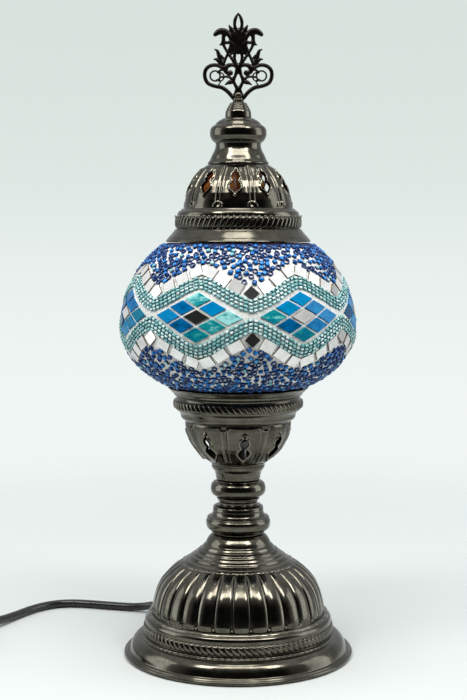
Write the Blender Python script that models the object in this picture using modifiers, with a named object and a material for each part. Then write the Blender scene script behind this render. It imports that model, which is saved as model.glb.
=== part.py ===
"""Mosaic glass table lamp: a pierced and embossed metal base, stem, cup and cap, a glass globe that carries
the mosaic, and a flat openwork finial that holds the cap down. World units are metres, +Z is up, the
origin is the middle of the felt's underside and the front looks towards -Y. Outlines of turned pieces are
(radius, height) pairs in millimetres, running down the outer side and back up the inner side."""

import math

import bmesh
import bpy
from mathutils import Matrix, Vector

MM = 0.001
GAP = 0.3  # millimetres left between pieces that touch on the real lamp

# Driving dimensions, in millimetres.
GLOBE_RADIUS = 65.5
GLOBE_WIDEST_Z = 183.0
GLOBE_DROP = 40.6  # semi-axis of the globe's outline below its widest level
LOWER_WALL_SHARE = 0.72  # how much of a depth the lower half's height loses, for a wider opening
GLOBE_RISE = 59.0  # semi-axis above it
GLOBE_BOTTOM_Z = 150.3
GLOBE_TOP_Z = 229.0
MOSAIC_THICKNESS = 2.2
GLASS_THICKNESS = 2.5
RIM_RADIUS = 64.0
DOME_RADIUS = 47.7
DOME_FOOT_Z = 24.0
DOME_HEIGHT = 34.5
DOME_POWER = 2.25
BASE_TOP_Z = 54.6
CUP_FOOT_Z = 98.2
CUP_BELLY_Z = 130.6
CUP_BELLY_RADIUS = 29.4
CUP_DEPTH = 28.5
CUP_POWER = 1.8
CUP_RIM_Z = 150.0
CAP_RIM_Z = 229.3
CAP_DOME_Z = 246.0
CAP_DOME_RADIUS = 29.9
CAP_DOME_HEIGHT = 31.0
CAP_TOP_Z = 271.2
FINIAL_TIP_Z = 353.2
SHEET = 1.4  # wall of the spun metal pieces

TUBE_RADIUS = 5.0
TUBE_BORE = 3.7
ON_TUBE = TUBE_RADIUS + 0.5  # hole of a piece threaded on the tube
STUD_RADIUS = 2.4
ON_STUD = STUD_RADIUS + 0.5
ROD_X = 21.0
ROD_RADIUS = 1.5
STRAP_Z = 120.6
BRIDGE_Z = 254.0
STRAP_THICKNESS = 1.6

CAP_WINDOWS = 10
CAP_WINDOW_TURN = math.radians(-93.6)  # bearing of the front window, measured from +X
CUP_WINDOWS = 8
CUP_WINDOW_TURN = math.radians(-83.0)
WINDOW_WIDTH = 5.4

CORD_DIAMETER = 4.8
EXIT_BEARING = math.radians(122.5)
EXIT_Z = 8.3
RELIEF_END = 73.1  # distance of the strain relief's tip from the lamp's axis
SWITCH_CENTRE = (-167.2, -1.0)
SWITCH_BEARING = math.radians(-115.9)
SWITCH_LENGTH = 58.0
SWITCH_WIDTH = 24.0
SWITCH_SPLIT_Z = 7.0
SWITCH_TOP_Z = 15.0
ROCKER_PIVOT_Z = 12.0
ROCKER_LEAN = math.radians(8.0)
COIL_CENTRE = (-225.5, -43.8)
COIL_OUTER = 36.4
COIL_INNER = 16.7
COIL_HEIGHT = 9.6
PLUG_REAR = (-264.5, -12.0)
PLUG_AXIS_Z = 7.2
PLUG_LENGTH = 36.0
PLUG_THICKNESS = 13.8
PIN_SPACING = 18.6
PIN_LENGTH = 19.0

# Routes of the cord's free stretches: where it lies on the table, chosen by hand, in metres.
ROUTE_TO_SWITCH = [
    (-0.0394, 0.0619, 0.0083),
    (-0.0430, 0.0676, 0.0079),
    (-0.0477, 0.0731, 0.0066),
    (-0.0530, 0.0775, 0.0050),
    (-0.0586, 0.0806, 0.0035),
    (-0.0648, 0.0829, 0.0026),
    (-0.0740, 0.0855, 0.0024),
    (-0.0850, 0.0884, 0.0024),
    (-0.0940, 0.0908, 0.0024),
    (-0.1025, 0.0922, 0.0024),
    (-0.1110, 0.0912, 0.0024),
    (-0.1195, 0.0865, 0.0024),
    (-0.1275, 0.0775, 0.0024),
    (-0.1350, 0.0645, 0.0025),
    (-0.1415, 0.0514, 0.0034),
    (-0.1477, 0.0390, 0.0054),
    (-0.1520, 0.0303, 0.0069),
    (-0.1543, 0.0256, 0.0070),
]
ROUTE_TO_COIL = [
    (-0.1801, -0.0276, 0.0070),
    (-0.1830, -0.0335, 0.0067),
    (-0.1863, -0.0402, 0.0052),
]
ROUTE_TO_PLUG = [
    (-0.2645, -0.0438, 0.0024),
    (-0.2645, -0.0360, 0.0028),
    (-0.2645, -0.0290, 0.0044),
    (-0.2645, -0.0215, 0.0064),
    (-0.2645, -0.0123, 0.0072),
]

COLOURS = {
    "bronze": ((0.055, 0.045, 0.036), 0.28, 1.0),
    "iron": ((0.09, 0.09, 0.09), 0.65, 1.0),
    "steel": ((0.55, 0.55, 0.54), 0.35, 1.0),
    "brass": ((0.72, 0.52, 0.22), 0.3, 1.0),
    "phenolic": ((0.02, 0.02, 0.02), 0.45, 0.0),
    "glass": ((0.85, 0.92, 0.95), 0.05, 0.0),
    "mosaic": ((0.03, 0.35, 0.62), 0.2, 0.0),
    "felt": ((0.02, 0.025, 0.02), 0.95, 0.0),
    "pvc": ((0.012, 0.012, 0.013), 0.4, 0.0),
    "bulb": ((0.9, 0.9, 0.88), 0.1, 0.0),
}

for old in list(bpy.data.objects):
    bpy.data.objects.remove(old, do_unlink=True)

lamp = bpy.data.collections.new("mosaic_table_lamp")
cutters = bpy.data.collections.new("cutters")
for group in (lamp, cutters):
    bpy.context.scene.collection.children.link(group)
cutters.hide_render = True


def material(finish):
    """The Principled material of one finish, made on first use."""
    found = bpy.data.materials.get(finish)
    if found:
        return found
    colour, roughness, metallic = COLOURS[finish]
    made = bpy.data.materials.new(finish)
    made.use_nodes = True
    shader = made.node_tree.nodes["Principled BSDF"]
    shader.inputs["Base Color"].default_value = (*colour, 1.0)
    shader.inputs["Roughness"].default_value = roughness
    shader.inputs["Metallic"].default_value = metallic
    return made


def add(name, data, finish):
    """Put a new sub-part in the lamp's collection, in its own copy of a finish."""
    obj = bpy.data.objects.new(name, data)
    own = material(finish).copy()
    own.name = name
    data.materials.append(own)
    lamp.objects.link(obj)
    return obj


def add_cutter(name, mesh):
    obj = bpy.data.objects.new(name, mesh)
    obj.hide_render = True
    obj.display_type = "WIRE"
    cutters.objects.link(obj)
    return obj


def superellipse(radius, foot_z, height, z_from, z_to, steps, power=2.0):
    """Points of a dome's outline from one level to another, evenly spread round the curve."""
    angles = []
    for z in (z_from, z_to):
        angles.append(math.asin((abs(z - foot_z) / abs(height)) ** (power / 2)))
    points = []
    for i in range(steps + 1):
        angle = angles[0] + (angles[1] - angles[0]) * i / steps
        out = radius * math.cos(angle) ** (2 / power)
        up = foot_z + height * math.sin(angle) ** (2 / power)
        points.append((out, up))
    return points


def turned(name, outline, finish, segments=20, ring=True):
    """Revolve an outline round Z. A ring's outline closes on itself, any other ends on the axis."""
    mesh = bpy.data.meshes.new(name)
    points = [(radius * MM, 0.0, z * MM) for radius, z in outline]
    edges = [(i, i + 1) for i in range(len(points) - 1)]
    if ring:
        edges.append((len(points) - 1, 0))
    mesh.from_pydata(points, edges, [])
    obj = add(name, mesh, finish)
    screw = obj.modifiers.new("Turn", "SCREW")
    screw.steps = screw.render_steps = segments
    screw.use_merge_vertices = True
    screw.merge_threshold = 0.00001
    screw.use_smooth_shade = True
    return obj


def prism_mesh(name, outlines, half_height):
    """A closed mesh of a flat outline with its holes, from a filled 2D curve, caps welded to sides."""
    curve = bpy.data.curves.new(name, "CURVE")
    curve.dimensions = "2D"
    curve.fill_mode = "BOTH"
    curve.extrude = half_height * MM
    for outline in outlines:
        spline = curve.splines.new("POLY")
        spline.points.add(len(outline) - 1)
        for point, (x, y) in zip(spline.points, outline):
            point.co = (x * MM, y * MM, 0.0, 1.0)
        spline.use_cyclic_u = True
    return mesh_of(name, curve)


def mesh_of(name, curve):
    """Turn a curve into a welded mesh and remove the curve."""
    guide = bpy.data.objects.new(name + "_guide", curve)
    lamp.objects.link(guide)
    bpy.context.view_layer.update()
    graph = bpy.context.evaluated_depsgraph_get()
    mesh = bpy.data.meshes.new_from_object(guide.evaluated_get(graph))
    mesh.name = name
    bpy.data.objects.remove(guide, do_unlink=True)
    work = bmesh.new()
    work.from_mesh(mesh)
    bmesh.ops.remove_doubles(work, verts=work.verts, dist=0.00001)
    bmesh.ops.recalc_face_normals(work, faces=work.faces)
    work.to_mesh(mesh)
    work.free()
    return mesh


def box_mesh(name, size, centre=(0.0, 0.0, 0.0)):
    work = bmesh.new()
    bmesh.ops.create_cube(work, size=1.0)
    bmesh.ops.scale(work, vec=Vector(size) * MM, verts=work.verts)
    bmesh.ops.translate(work, vec=Vector(centre) * MM, verts=work.verts)
    mesh = bpy.data.meshes.new(name)
    work.to_mesh(mesh)
    work.free()
    return mesh


def rod_mesh(name, radius, z_low, z_high, sides=12):
    work = bmesh.new()
    bmesh.ops.create_cone(
        work,
        cap_ends=True,
        segments=sides,
        radius1=radius * MM,
        radius2=radius * MM,
        depth=(z_high - z_low) * MM,
        matrix=Matrix.Translation((0, 0, (z_low + z_high) / 2 * MM)),
    )
    mesh = bpy.data.meshes.new(name)
    work.to_mesh(mesh)
    work.free()
    return mesh


def cut(obj, cutter):
    modifier = obj.modifiers.new("Cut " + cutter.name, "BOOLEAN")
    modifier.operation = "DIFFERENCE"
    modifier.object = cutter


def bevel(obj, width):
    modifier = obj.modifiers.new("Edges", "BEVEL")
    modifier.width = width * MM
    modifier.segments = 1
    modifier.limit_method = "ANGLE"


def radial_windows(name, count, first_bearing, z_low, z_high, reach):
    """One cutter of pointed windows, spread evenly round the axis and pointing outwards."""
    middle = (z_low + z_high) / 2
    half = (z_high - z_low) / 2
    side = WINDOW_WIDTH / 2
    outline = [
        (0.0, half),
        (-side, half * 0.35),
        (-side, -half * 0.4),
        (0.0, -half),
        (side, -half * 0.4),
        (side, half * 0.35),
    ]
    work = bmesh.new()
    single = prism_mesh(name + "_single", [outline], (reach[1] - reach[0]) / 2)
    upright = Matrix.Rotation(math.pi / 2, 4, "X")
    for i in range(count):
        turn = Matrix.Rotation(first_bearing + math.pi / 2 + 2 * math.pi * i / count, 4, "Z")
        place = Matrix.Translation((0, -(reach[0] + reach[1]) / 2 * MM, middle * MM))
        copy = single.copy()
        copy.transform(turn @ place @ upright)
        work.from_mesh(copy)
        bpy.data.meshes.remove(copy)
    bpy.data.meshes.remove(single)
    mesh = bpy.data.meshes.new(name)
    work.to_mesh(mesh)
    work.free()
    return add_cutter(name, mesh)


def smooth_path(route, spacing):
    """Points about this far apart along a Catmull-Rom curve through the route."""
    ends = [2 * Vector(route[0]) - Vector(route[1])]
    knots = ends + [Vector(point) for point in route]
    knots.append(2 * Vector(route[-1]) - Vector(route[-2]))
    fine = []
    for a, b, c, d in zip(knots, knots[1:], knots[2:], knots[3:]):
        for i in range(8):
            t = i / 8
            curve = 2 * b + (c - a) * t + (2 * a - 5 * b + 4 * c - d) * t**2
            fine.append(0.5 * (curve + (3 * b - a - 3 * c + d) * t**3))
    fine.append(Vector(route[-1]))
    length = sum((q - p).length for p, q in zip(fine, fine[1:]))
    count = max(2, round(length / spacing))
    path = [fine[0]]
    walked = 0.0
    for p, q in zip(fine, fine[1:]):
        step = (q - p).length
        while len(path) < count and walked + step >= length * len(path) / count:
            path.append(p.lerp(q, (length * len(path) / count - walked) / step))
        walked += step
    path.append(fine[-1])
    return path


def tube(name, path, diameter, finish):
    """A round tube of eight sides along a path, with filled ends."""
    curve = bpy.data.curves.new(name, "CURVE")
    curve.dimensions = "3D"
    curve.bevel_depth = diameter / 2
    curve.bevel_resolution = 2
    curve.use_fill_caps = True
    spline = curve.splines.new("POLY")
    spline.points.add(len(path) - 1)
    for point, place in zip(spline.points, path):
        point.co = (*place, 1.0)
    return add(name, curve, finish)


def lengthwise(centre, bearing, z=0.0):
    """A place on the table whose local +X runs along a bearing."""
    shift = Matrix.Translation((centre[0] * MM, centre[1] * MM, z * MM))
    return shift @ Matrix.Rotation(bearing, 4, "Z")


# ---- Base ----
turned("felt_pad", [(0, 1.6), (60.5, 1.6), (60.5, 0), (0, 0)], "felt", 32, ring=False)
turned("base_plate", [(0, 3.1), (58.4, 3.1), (58.4, 1.9), (0, 1.9)], "steel", 32, ring=False)
turned("base_ballast", [(0, 10.4), (38.8, 10.4), (40, 9.4), (40, 3.4), (0, 3.4)], "iron", 24, ring=False)


def base_outline():
    dome = superellipse(DOME_RADIUS, DOME_FOOT_Z, DOME_HEIGHT, 53.8, 25.6, 5, DOME_POWER)
    steps = [(49.8, 23.3), (51.6, 22.4), (52.1, 18.2), (53.0, 17.2), (53.0, 12.2)]
    flange = [(56.8, 9.9), (59.6, 7.0), (60.8, 3.2)]
    rim = [(62.6, 2.8), (RIM_RADIUS, 1.6), (63.3, GAP)]
    inner = [(61.0, GAP), (61.0, 1.8), (58.9, 1.8), (58.9, 4.0), (55.4, 8.4), (51.2, 11.4)]
    inner += [(50.4, 20.9)]
    inner_radius, inner_height = DOME_RADIUS - SHEET, DOME_HEIGHT - 1.6
    hollow = superellipse(inner_radius, DOME_FOOT_Z, inner_height, 26.0, 52.6, 3, DOME_POWER)
    top = [(ON_TUBE, BASE_TOP_Z), (26.0, BASE_TOP_Z)]
    ceiling = [(24.8, BASE_TOP_Z - 1.5), (ON_TUBE, BASE_TOP_Z - 1.5)]
    return top + dome + steps + flange + rim + inner + hollow + ceiling


base_shell = turned("base_shell", base_outline(), "bronze", 40)
cord_hole = add_cutter("cord_hole", rod_mesh("cord_hole", 3.4, 50.0, 66.0))
cord_hole.matrix_world = (
    Matrix.Translation((0, 0, EXIT_Z * MM))
    @ Matrix.Rotation(EXIT_BEARING, 4, "Z")
    @ Matrix.Rotation(math.pi / 2, 4, "Y")
)
cut(base_shell, cord_hole)

turned("base_washer", [(ON_TUBE, 52.8), (12, 52.8), (12, 51.3), (ON_TUBE, 51.3)], "steel")
HEX_ON_TUBE = ON_TUBE / math.cos(math.pi / 6)
NUT_RADIUS = 9.2


def nut(name, bottom, height=4.6, radius=NUT_RADIUS, hole=HEX_ON_TUBE):
    top = bottom + height
    return turned(name, [(hole, top), (radius, top), (radius, bottom), (hole, bottom)], "steel", 6)


nut("base_nut", 46.4)

# ---- Stem: pieces threaded on one hollow tube ----
turned(
    "stem_tube",
    [(TUBE_BORE, 127.0), (TUBE_RADIUS, 127.0), (TUBE_RADIUS, 40.0), (TUBE_BORE, 40.0)],
    "steel",
    16,
)
turned(
    "base_neck",
    [(ON_TUBE, 67.6), (15.1, 67.6), (15.9, 66.3), (17.7, 63.7), (18.4, 61.9), (19.6, 60.8)]
    + [(22.6, 58.9), (25.4, 56.8), (28.0, 55.0), (31.0, 53.2), (33.4, 51.8), (33.4, 51.1)]
    + [(27.4, 54.4), (25.9, 55.0), (21.6, 57.6), (16.4, 61.9), (13.4, 66.1), (ON_TUBE, 66.1)],
    "bronze",
)
turned(
    "stem_lower_ring",
    [(ON_TUBE, 83.4), (13.9, 83.4), (14.2, 80.4), (14.6, 78.6), (17.1, 77.0), (17.9, 75.2)]
    + [(17.7, 70.9), (16.2, 69.3), (14.7, 67.9), (ON_TUBE, 67.9)],
    "bronze",
)
turned(
    "stem_collar",
    [(ON_TUBE, 88.4), (12.0, 88.4), (11.8, 87.0), (10.6, 85.6), (10.7, 83.7), (ON_TUBE, 83.7)],
    "bronze",
)
turned(
    "stem_knob",
    [(ON_TUBE, 97.9), (12.2, 97.9), (14.1, 96.8), (15.2, 94.8), (15.2, 91.0), (14.0, 88.7)]
    + [(ON_TUBE, 88.7)],
    "bronze",
)


# ---- Cup that the globe sits on ----
def cup_outline():
    rim = [(32.5, CUP_RIM_Z), (38.9, CUP_RIM_Z), (37.0, 147.3), (34.4, 144.0)]
    band = [(35.9, 142.9), (35.9, 138.4), (33.9, 136.6), (32.0, 134.6), (30.6, 131.7)]
    bowl = superellipse(CUP_BELLY_RADIUS, CUP_BELLY_Z, -CUP_DEPTH, CUP_BELLY_Z, 108.4, 4, CUP_POWER)
    foot = [(15.0, 105.4), (12.6, 101.0), (12.5, CUP_FOOT_Z)]
    floor = [(ON_TUBE, CUP_FOOT_Z), (ON_TUBE, 99.8), (11.0, 99.8), (11.2, 102.0), (13.2, 108.4)]
    inner_radius, inner_depth = CUP_BELLY_RADIUS - SHEET, CUP_DEPTH - SHEET
    hollow = superellipse(inner_radius, CUP_BELLY_Z, -inner_depth, 110.5, CUP_BELLY_Z, 2, CUP_POWER)
    wall = [(32.8, 137.8), (33.0, 144.4), (35.8, 148.6), (32.5, 148.6)]
    return rim + band + bowl + foot + floor + hollow + wall


cup = turned("cup_gallery", cup_outline(), "bronze", 32)
cut(cup, radial_windows("cup_windows", CUP_WINDOWS, CUP_WINDOW_TURN, 111.8, 125.8, (15.0, 36.0)))
nut("cup_nut", 100.1)

# ---- Inner bracket that ties the cap down to the stem ----
nut("strap_nut", 115.6)


def strap(name, bottom, size_x, size_y, holes):
    """A flat strip along X with round holes, each (x, radius)."""
    size = (size_x, size_y, STRAP_THICKNESS)
    obj = add(name, box_mesh(name, size, (0, 0, bottom + STRAP_THICKNESS / 2)), "steel")
    work = bmesh.new()
    for x, radius in holes:
        low, high = bottom - 2, bottom + STRAP_THICKNESS + 2
        pin = rod_mesh(name + "_hole", radius, low, high)
        pin.transform(Matrix.Translation((x * MM, 0, 0)))
        work.from_mesh(pin)
        bpy.data.meshes.remove(pin)
    mesh = bpy.data.meshes.new(name + "_holes")
    work.to_mesh(mesh)
    work.free()
    cut(obj, add_cutter(name + "_holes", mesh))


ROD_HOLE = ROD_RADIUS + 0.4
strap("bracket_strap", STRAP_Z, 46.6, 15.0, [(-ROD_X, ROD_HOLE), (0, ON_TUBE), (ROD_X, ROD_HOLE)])
strap("bracket_bridge", BRIDGE_Z, 47.0, 9.0, [(-ROD_X, ROD_HOLE), (0, ON_STUD), (ROD_X, ROD_HOLE)])
for side, x in (("left", -ROD_X), ("right", ROD_X)):
    rod = add("bracket_rod_" + side, rod_mesh("bracket_rod", ROD_RADIUS, 119.9, 259.6, 10), "steel")
    rod.location.x = x * MM
    rod_nut = nut("rod_nut_" + side, BRIDGE_Z + STRAP_THICKNESS + GAP, 2.4, 3.0, ROD_HOLE + 0.3)
    rod_nut.location.x = x * MM
add("top_stud", rod_mesh("top_stud", STUD_RADIUS, 249.6, 303.0), "steel")
HEX_ON_STUD = ON_STUD / math.cos(math.pi / 6)
nut("stud_nut_lower", BRIDGE_Z - GAP - 3.0, 3.0, 5.0, HEX_ON_STUD)
nut("stud_nut_upper", BRIDGE_Z + STRAP_THICKNESS + GAP, 3.0, 5.0, HEX_ON_STUD)

# ---- Lampholder and bulb ----
turned(
    "lampholder_cap",
    [(12.6, 137.0), (14.2, 137.0), (14.2, 123.6), (13.2, 122.5), (ON_TUBE, 122.5)]
    + [(ON_TUBE, 125.0), (12.6, 125.0)],
    "phenolic",
    12,
)
turned(
    "lampholder_body",
    [(9.8, 163.0), (13.2, 163.0), (14.2, 161.8), (14.2, 137.3), (12.6, 137.3), (12.6, 161.4)]
    + [(9.8, 161.4)],
    "phenolic",
    12,
)
turned(
    "lampholder_insert",
    [(2.6, 136.7), (11.9, 136.7), (11.9, 129.0), (2.6, 129.0)],
    "phenolic",
    16,
)
turned(
    "lampholder_contact",
    [(0, 138.8), (3.0, 138.6), (3.4, 137.0), (0, 137.0)],
    "brass",
    12,
    ring=False,
)
turned(
    "lampholder_screw_shell",
    [(7.6, 161.1), (8.3, 161.1), (8.3, 139.4), (7.6, 139.4)],
    "brass",
    12,
)
turned(
    "bulb_screw_cap",
    [(0, 163.6), (6.4, 163.6), (6.9, 162.4), (6.9, 146.0), (4.6, 143.0), (2.8, 139.4), (0, 139.4)],
    "brass",
    12,
    ring=False,
)
turned("bulb_stem", [(0, 196.0), (1.4, 195.0), (2.4, 163.9), (0, 163.9)], "bulb", 10, ring=False)
turned(
    "bulb_glass",
    [(0, 221.3), (3.0, 219.0), (8.8, 210.0), (14.0, 198.5), (16.0, 187.0), (15.0, 178.0)]
    + [(11.0, 169.0), (6.6, 163.9), (5.8, 163.9), (10.3, 169.4), (15.2, 187.0), (8.0, 209.6)]
    + [(0, 220.2)],
    "bulb",
    14,
    ring=False,
)


# ---- Glass globe and the mosaic on it ----
def globe_side(inset, steps, downward):
    """The globe's outline at a depth under its outer face, between its two openings."""
    radius = GLOBE_RADIUS - inset
    rise = GLOBE_RISE - inset
    drop = GLOBE_DROP - LOWER_WALL_SHARE * inset
    upper = superellipse(radius, GLOBE_WIDEST_Z, rise, GLOBE_TOP_Z, GLOBE_WIDEST_Z, steps)
    lower = superellipse(radius, GLOBE_WIDEST_Z, -drop, GLOBE_WIDEST_Z, GLOBE_BOTTOM_Z, steps)
    side = upper + lower[1:]
    return side if downward else side[::-1]


GLASS_FACE = MOSAIC_THICKNESS + GAP
turned(
    "glass_globe",
    globe_side(GLASS_FACE, 3, True) + globe_side(GLASS_FACE + GLASS_THICKNESS, 2, False),
    "glass",
    28,
)
turned(
    "mosaic_layer",
    globe_side(0, 4, True) + globe_side(MOSAIC_THICKNESS, 3, False),
    "mosaic",
    28,
)


# ---- Cap, and the finial that screws down on it ----
def cap_outline():
    top = [(7.0, CAP_TOP_Z), (17.2, CAP_TOP_Z)]
    dome = superellipse(CAP_DOME_RADIUS, CAP_DOME_Z, CAP_DOME_HEIGHT, 270.0, 249.0, 4)
    band = [(31.4, 246.8), (34.0, 244.2), (34.9, 242.4), (34.9, 237.8), (34.2, 236.2)]
    skirt = [(36.7, 233.5), (39.7, 230.4), (39.9, CAP_RIM_Z)]
    inner = [(37.0, CAP_RIM_Z), (36.2, 231.6), (33.0, 235.6), (33.0, 243.0), (28.9, 247.4)]
    hollow = superellipse(
        CAP_DOME_RADIUS - SHEET, CAP_DOME_Z, CAP_DOME_HEIGHT - SHEET, 251.0, 268.4, 3
    )
    ceiling = [(16.2, CAP_TOP_Z - SHEET), (7.0, CAP_TOP_Z - SHEET)]
    return top + dome + band + skirt + inner + hollow + ceiling


cap = turned("cap_dome", cap_outline(), "bronze", 30)
cut(cap, radial_windows("cap_windows", CAP_WINDOWS, CAP_WINDOW_TURN, 255.2, 268.0, (12.0, 36.0)))
turned(
    "cap_neck",
    [(ON_STUD, 296.4), (9.1, 296.4), (12.9, 293.4), (14.6, 291.2), (15.4, 288.8), (15.4, 286.7)]
    + [(13.2, 283.5), (12.3, 281.6), (13.8, 278.0), (15.3, 273.9), (16.9, 271.5), (ON_STUD, 271.5)],
    "bronze",
)
turned(
    "finial_socket",
    [(0, 308.3), (3.8, 308.3), (4.3, 306.0), (6.4, 303.0), (7.1, 299.6), (7.1, 296.7)]
    + [(ON_STUD, 296.7), (ON_STUD, 303.8), (0, 303.8)],
    "bronze",
    16,
    ring=False,
)


def regular(centre, radius, sides, stretch=1.0):
    """A round hole's outline, stretched upwards."""
    return [
        (
            centre[0] + radius * math.cos(2 * math.pi * i / sides),
            centre[1] + stretch * radius * math.sin(2 * math.pi * i / sides),
        )
        for i in range(sides)
    ]


def finial_outlines():
    """The openwork's right edge from foot to tip, mirrored, and its holes, as (x, height)."""
    right = [(2.4, 308.6), (6.2, 311.6), (10.5, 313.6), (15.2, 315.0), (18.3, 317.6), (19.2, 320.2)]
    right += [(18.3, 323.2), (16.0, 325.0), (10.4, 324.6), (13.4, 328.4), (11.4, 329.8)]
    right += [(13.0, 333.4), (9.6, 332.2), (7.6, 333.4), (9.9, 336.0), (7.6, 338.6), (8.6, 341.0)]
    right += [(12.8, 341.2), (12.4, 343.4), (9.6, 344.6), (5.6, 343.4), (4.7, 346.4), (2.8, 345.6)]
    right += [(2.4, 349.2)]
    left = [(-x, z) for x, z in reversed(right)]
    outer = right + [(0.0, FINIAL_TIP_Z)] + left
    holes = [regular((side * 12.8, 320.0), 4.4, 8) for side in (-1, 1)]
    holes += [regular((0, 317.0), 1.8, 4, 1.5), regular((0, 329.8), 1.1, 6, 2.6)]
    holes += [regular((0, 346.8), 0.9, 6, 2.4)]
    return [outer] + holes


finial = add("finial_openwork", prism_mesh("finial_openwork", finial_outlines(), 1.3), "bronze")
finial.rotation_euler.x = math.pi / 2

# ---- Mains lead: inside the base and stem, then free on the table ----
OUTWARD = Vector((math.cos(EXIT_BEARING), math.sin(EXIT_BEARING), 0.0))
LEAD_STOPS = [(49.6, 8.4), (46.0, 9.8), (41.5, 13.4), (36.0, 15.6), (28.0, 16.6), (18.0, 17.6)]
LEAD_STOPS += [(9.0, 20.4), (3.0, 26.0), (0.2, 34.0), (0.0, 42.0), (0.0, 70.0), (0.0, 100.0)]
LEAD_STOPS += [(0.0, 128.6)]
lead_route = [OUTWARD * (reach * MM) + Vector((0, 0, z * MM)) for reach, z in LEAD_STOPS]
tube("inner_lead", smooth_path(lead_route, 0.009), 4.6 * MM, "pvc")

relief = turned(
    "cord_strain_relief",
    [(0, RELIEF_END), (3.1, RELIEF_END), (3.9, 62.4), (4.6, 62.3), (4.6, 60.9), (3.0, 60.8)]
    + [(3.0, 50.7), (0, 50.7)],
    "pvc",
    12,
    ring=False,
)
relief.matrix_world = cord_hole.matrix_world.copy()

tube("cord_to_switch", smooth_path(ROUTE_TO_SWITCH, 0.011), CORD_DIAMETER * MM, "pvc")
tube("cord_to_coil", smooth_path(ROUTE_TO_COIL, 0.006), CORD_DIAMETER * MM, "pvc")
tube("cord_to_plug", smooth_path(ROUTE_TO_PLUG, 0.009), CORD_DIAMETER * MM, "pvc")
coil = turned(
    "cord_coil",
    [(COIL_INNER + 1, COIL_HEIGHT), (COIL_OUTER - 1, COIL_HEIGHT), (COIL_OUTER, COIL_HEIGHT - 1)]
    + [(COIL_OUTER, 0), (COIL_INNER, 0), (COIL_INNER, COIL_HEIGHT - 1)],
    "pvc",
)
coil.location = (COIL_CENTRE[0] * MM, COIL_CENTRE[1] * MM, 0)

# ---- Inline rocker switch ----
SWITCH_PLACE = lengthwise(SWITCH_CENTRE, SWITCH_BEARING)
half_long, half_wide = SWITCH_LENGTH / 2, SWITCH_WIDTH / 2
quarter = [(half_long, 4.5), (half_long - 4, 9.0), (half_long - 12, half_wide)]
switch_plan = quarter + [(-x, y) for x, y in reversed(quarter)]
switch_plan += [(-x, -y) for x, y in switch_plan]
SLOT_SIZE = (15.8, 9.2, 20.0)
SCREW_X = 21.0


def switch_shell(name, z_low, z_high, pocket_z):
    half = (z_high - z_low) / 2
    obj = add(name, prism_mesh(name, [switch_plan], half), "pvc")
    obj.data.transform(Matrix.Translation((0, 0, (z_low + half) * MM)))
    obj.matrix_world = SWITCH_PLACE
    pocket = add_cutter(name + "_pocket", box_mesh(name + "_pocket", (34, 17, 7), (0, 0, pocket_z)))
    bore = add_cutter(name + "_bore", rod_mesh(name + "_bore", 1.9, -1, 11.6))
    bore.matrix_world = SWITCH_PLACE @ Matrix.Translation((SCREW_X * MM, 0, 0))
    pocket.matrix_world = SWITCH_PLACE
    cut(obj, pocket)
    cut(obj, bore)
    return obj


switch_lower = switch_shell("switch_lower_shell", 0.2, SWITCH_SPLIT_Z, SWITCH_SPLIT_Z - 1.5)
switch_upper = switch_shell("switch_upper_shell", SWITCH_SPLIT_Z + GAP, SWITCH_TOP_Z, 9.4)
slot = add_cutter("rocker_slot", box_mesh("rocker_slot", SLOT_SIZE, (0, 0, SWITCH_TOP_Z)))
slot.matrix_world = SWITCH_PLACE
cut(switch_upper, slot)
screw = add("switch_screw", rod_mesh("switch_screw", 1.5, 0.4, 11.2, 8), "steel")
screw.matrix_world = SWITCH_PLACE @ Matrix.Translation((SCREW_X * MM, 0, 0))
contact = add("switch_contact", box_mesh("switch_contact", (22, 4, 0.8), (0, 0, 3.0)), "brass")
contact.matrix_world = SWITCH_PLACE

# The rocker's two faces meet in a shallow V, and at rest one of them is pressed level.
V_RISE = 7.0 * math.tan(ROCKER_LEAN)
rocker_side = [(-7.0, -3.4), (7.0, -3.4), (7.0, 3.0 + V_RISE), (0.0, 3.0), (-7.0, 3.0 + V_RISE)]
rocker = add("switch_rocker", prism_mesh("switch_rocker", [rocker_side], 4.0), "pvc")
rocker.data.transform(Matrix.Rotation(math.pi / 2, 4, "X"))
rocker.matrix_world = (
    lengthwise(SWITCH_CENTRE, SWITCH_BEARING, ROCKER_PIVOT_Z) @ Matrix.Rotation(ROCKER_LEAN, 4, "Y")
)

# ---- Two-pin plug, lying flat ----
PLUG_PLACE = lengthwise(PLUG_REAR, math.pi / 2, PLUG_AXIS_Z)
plug_edge = [(0, 5.0), (9, 8.5), (18, 15.0), (26, 17.5), (PLUG_LENGTH, 17.5)]
plug_plan = plug_edge + [(x, -y) for x, y in reversed(plug_edge)]
plug = add("plug_body", prism_mesh("plug_body", [plug_plan], PLUG_THICKNESS / 2), "pvc")
plug.matrix_world = PLUG_PLACE
bevel(plug, 1.6)
for side, y in (("left", PIN_SPACING / 2), ("right", -PIN_SPACING / 2)):
    pin = add("plug_pin_" + side, rod_mesh("plug_pin", 2.0, GAP, PIN_LENGTH, 10), "steel")
    stand = Matrix.Translation((PLUG_LENGTH * MM, y * MM, 0))
    pin.matrix_world = PLUG_PLACE @ stand @ Matrix.Rotation(math.pi / 2, 4, "Y")
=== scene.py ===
"""Looks of the mosaic glass table lamp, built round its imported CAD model. Lengths inside the helpers are
millimetres unless a name ends in _m; bearings are measured from the front (-Y) towards +X."""

import math

import bmesh
import bpy
import numpy as np
from mathutils import Matrix, Vector


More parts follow.
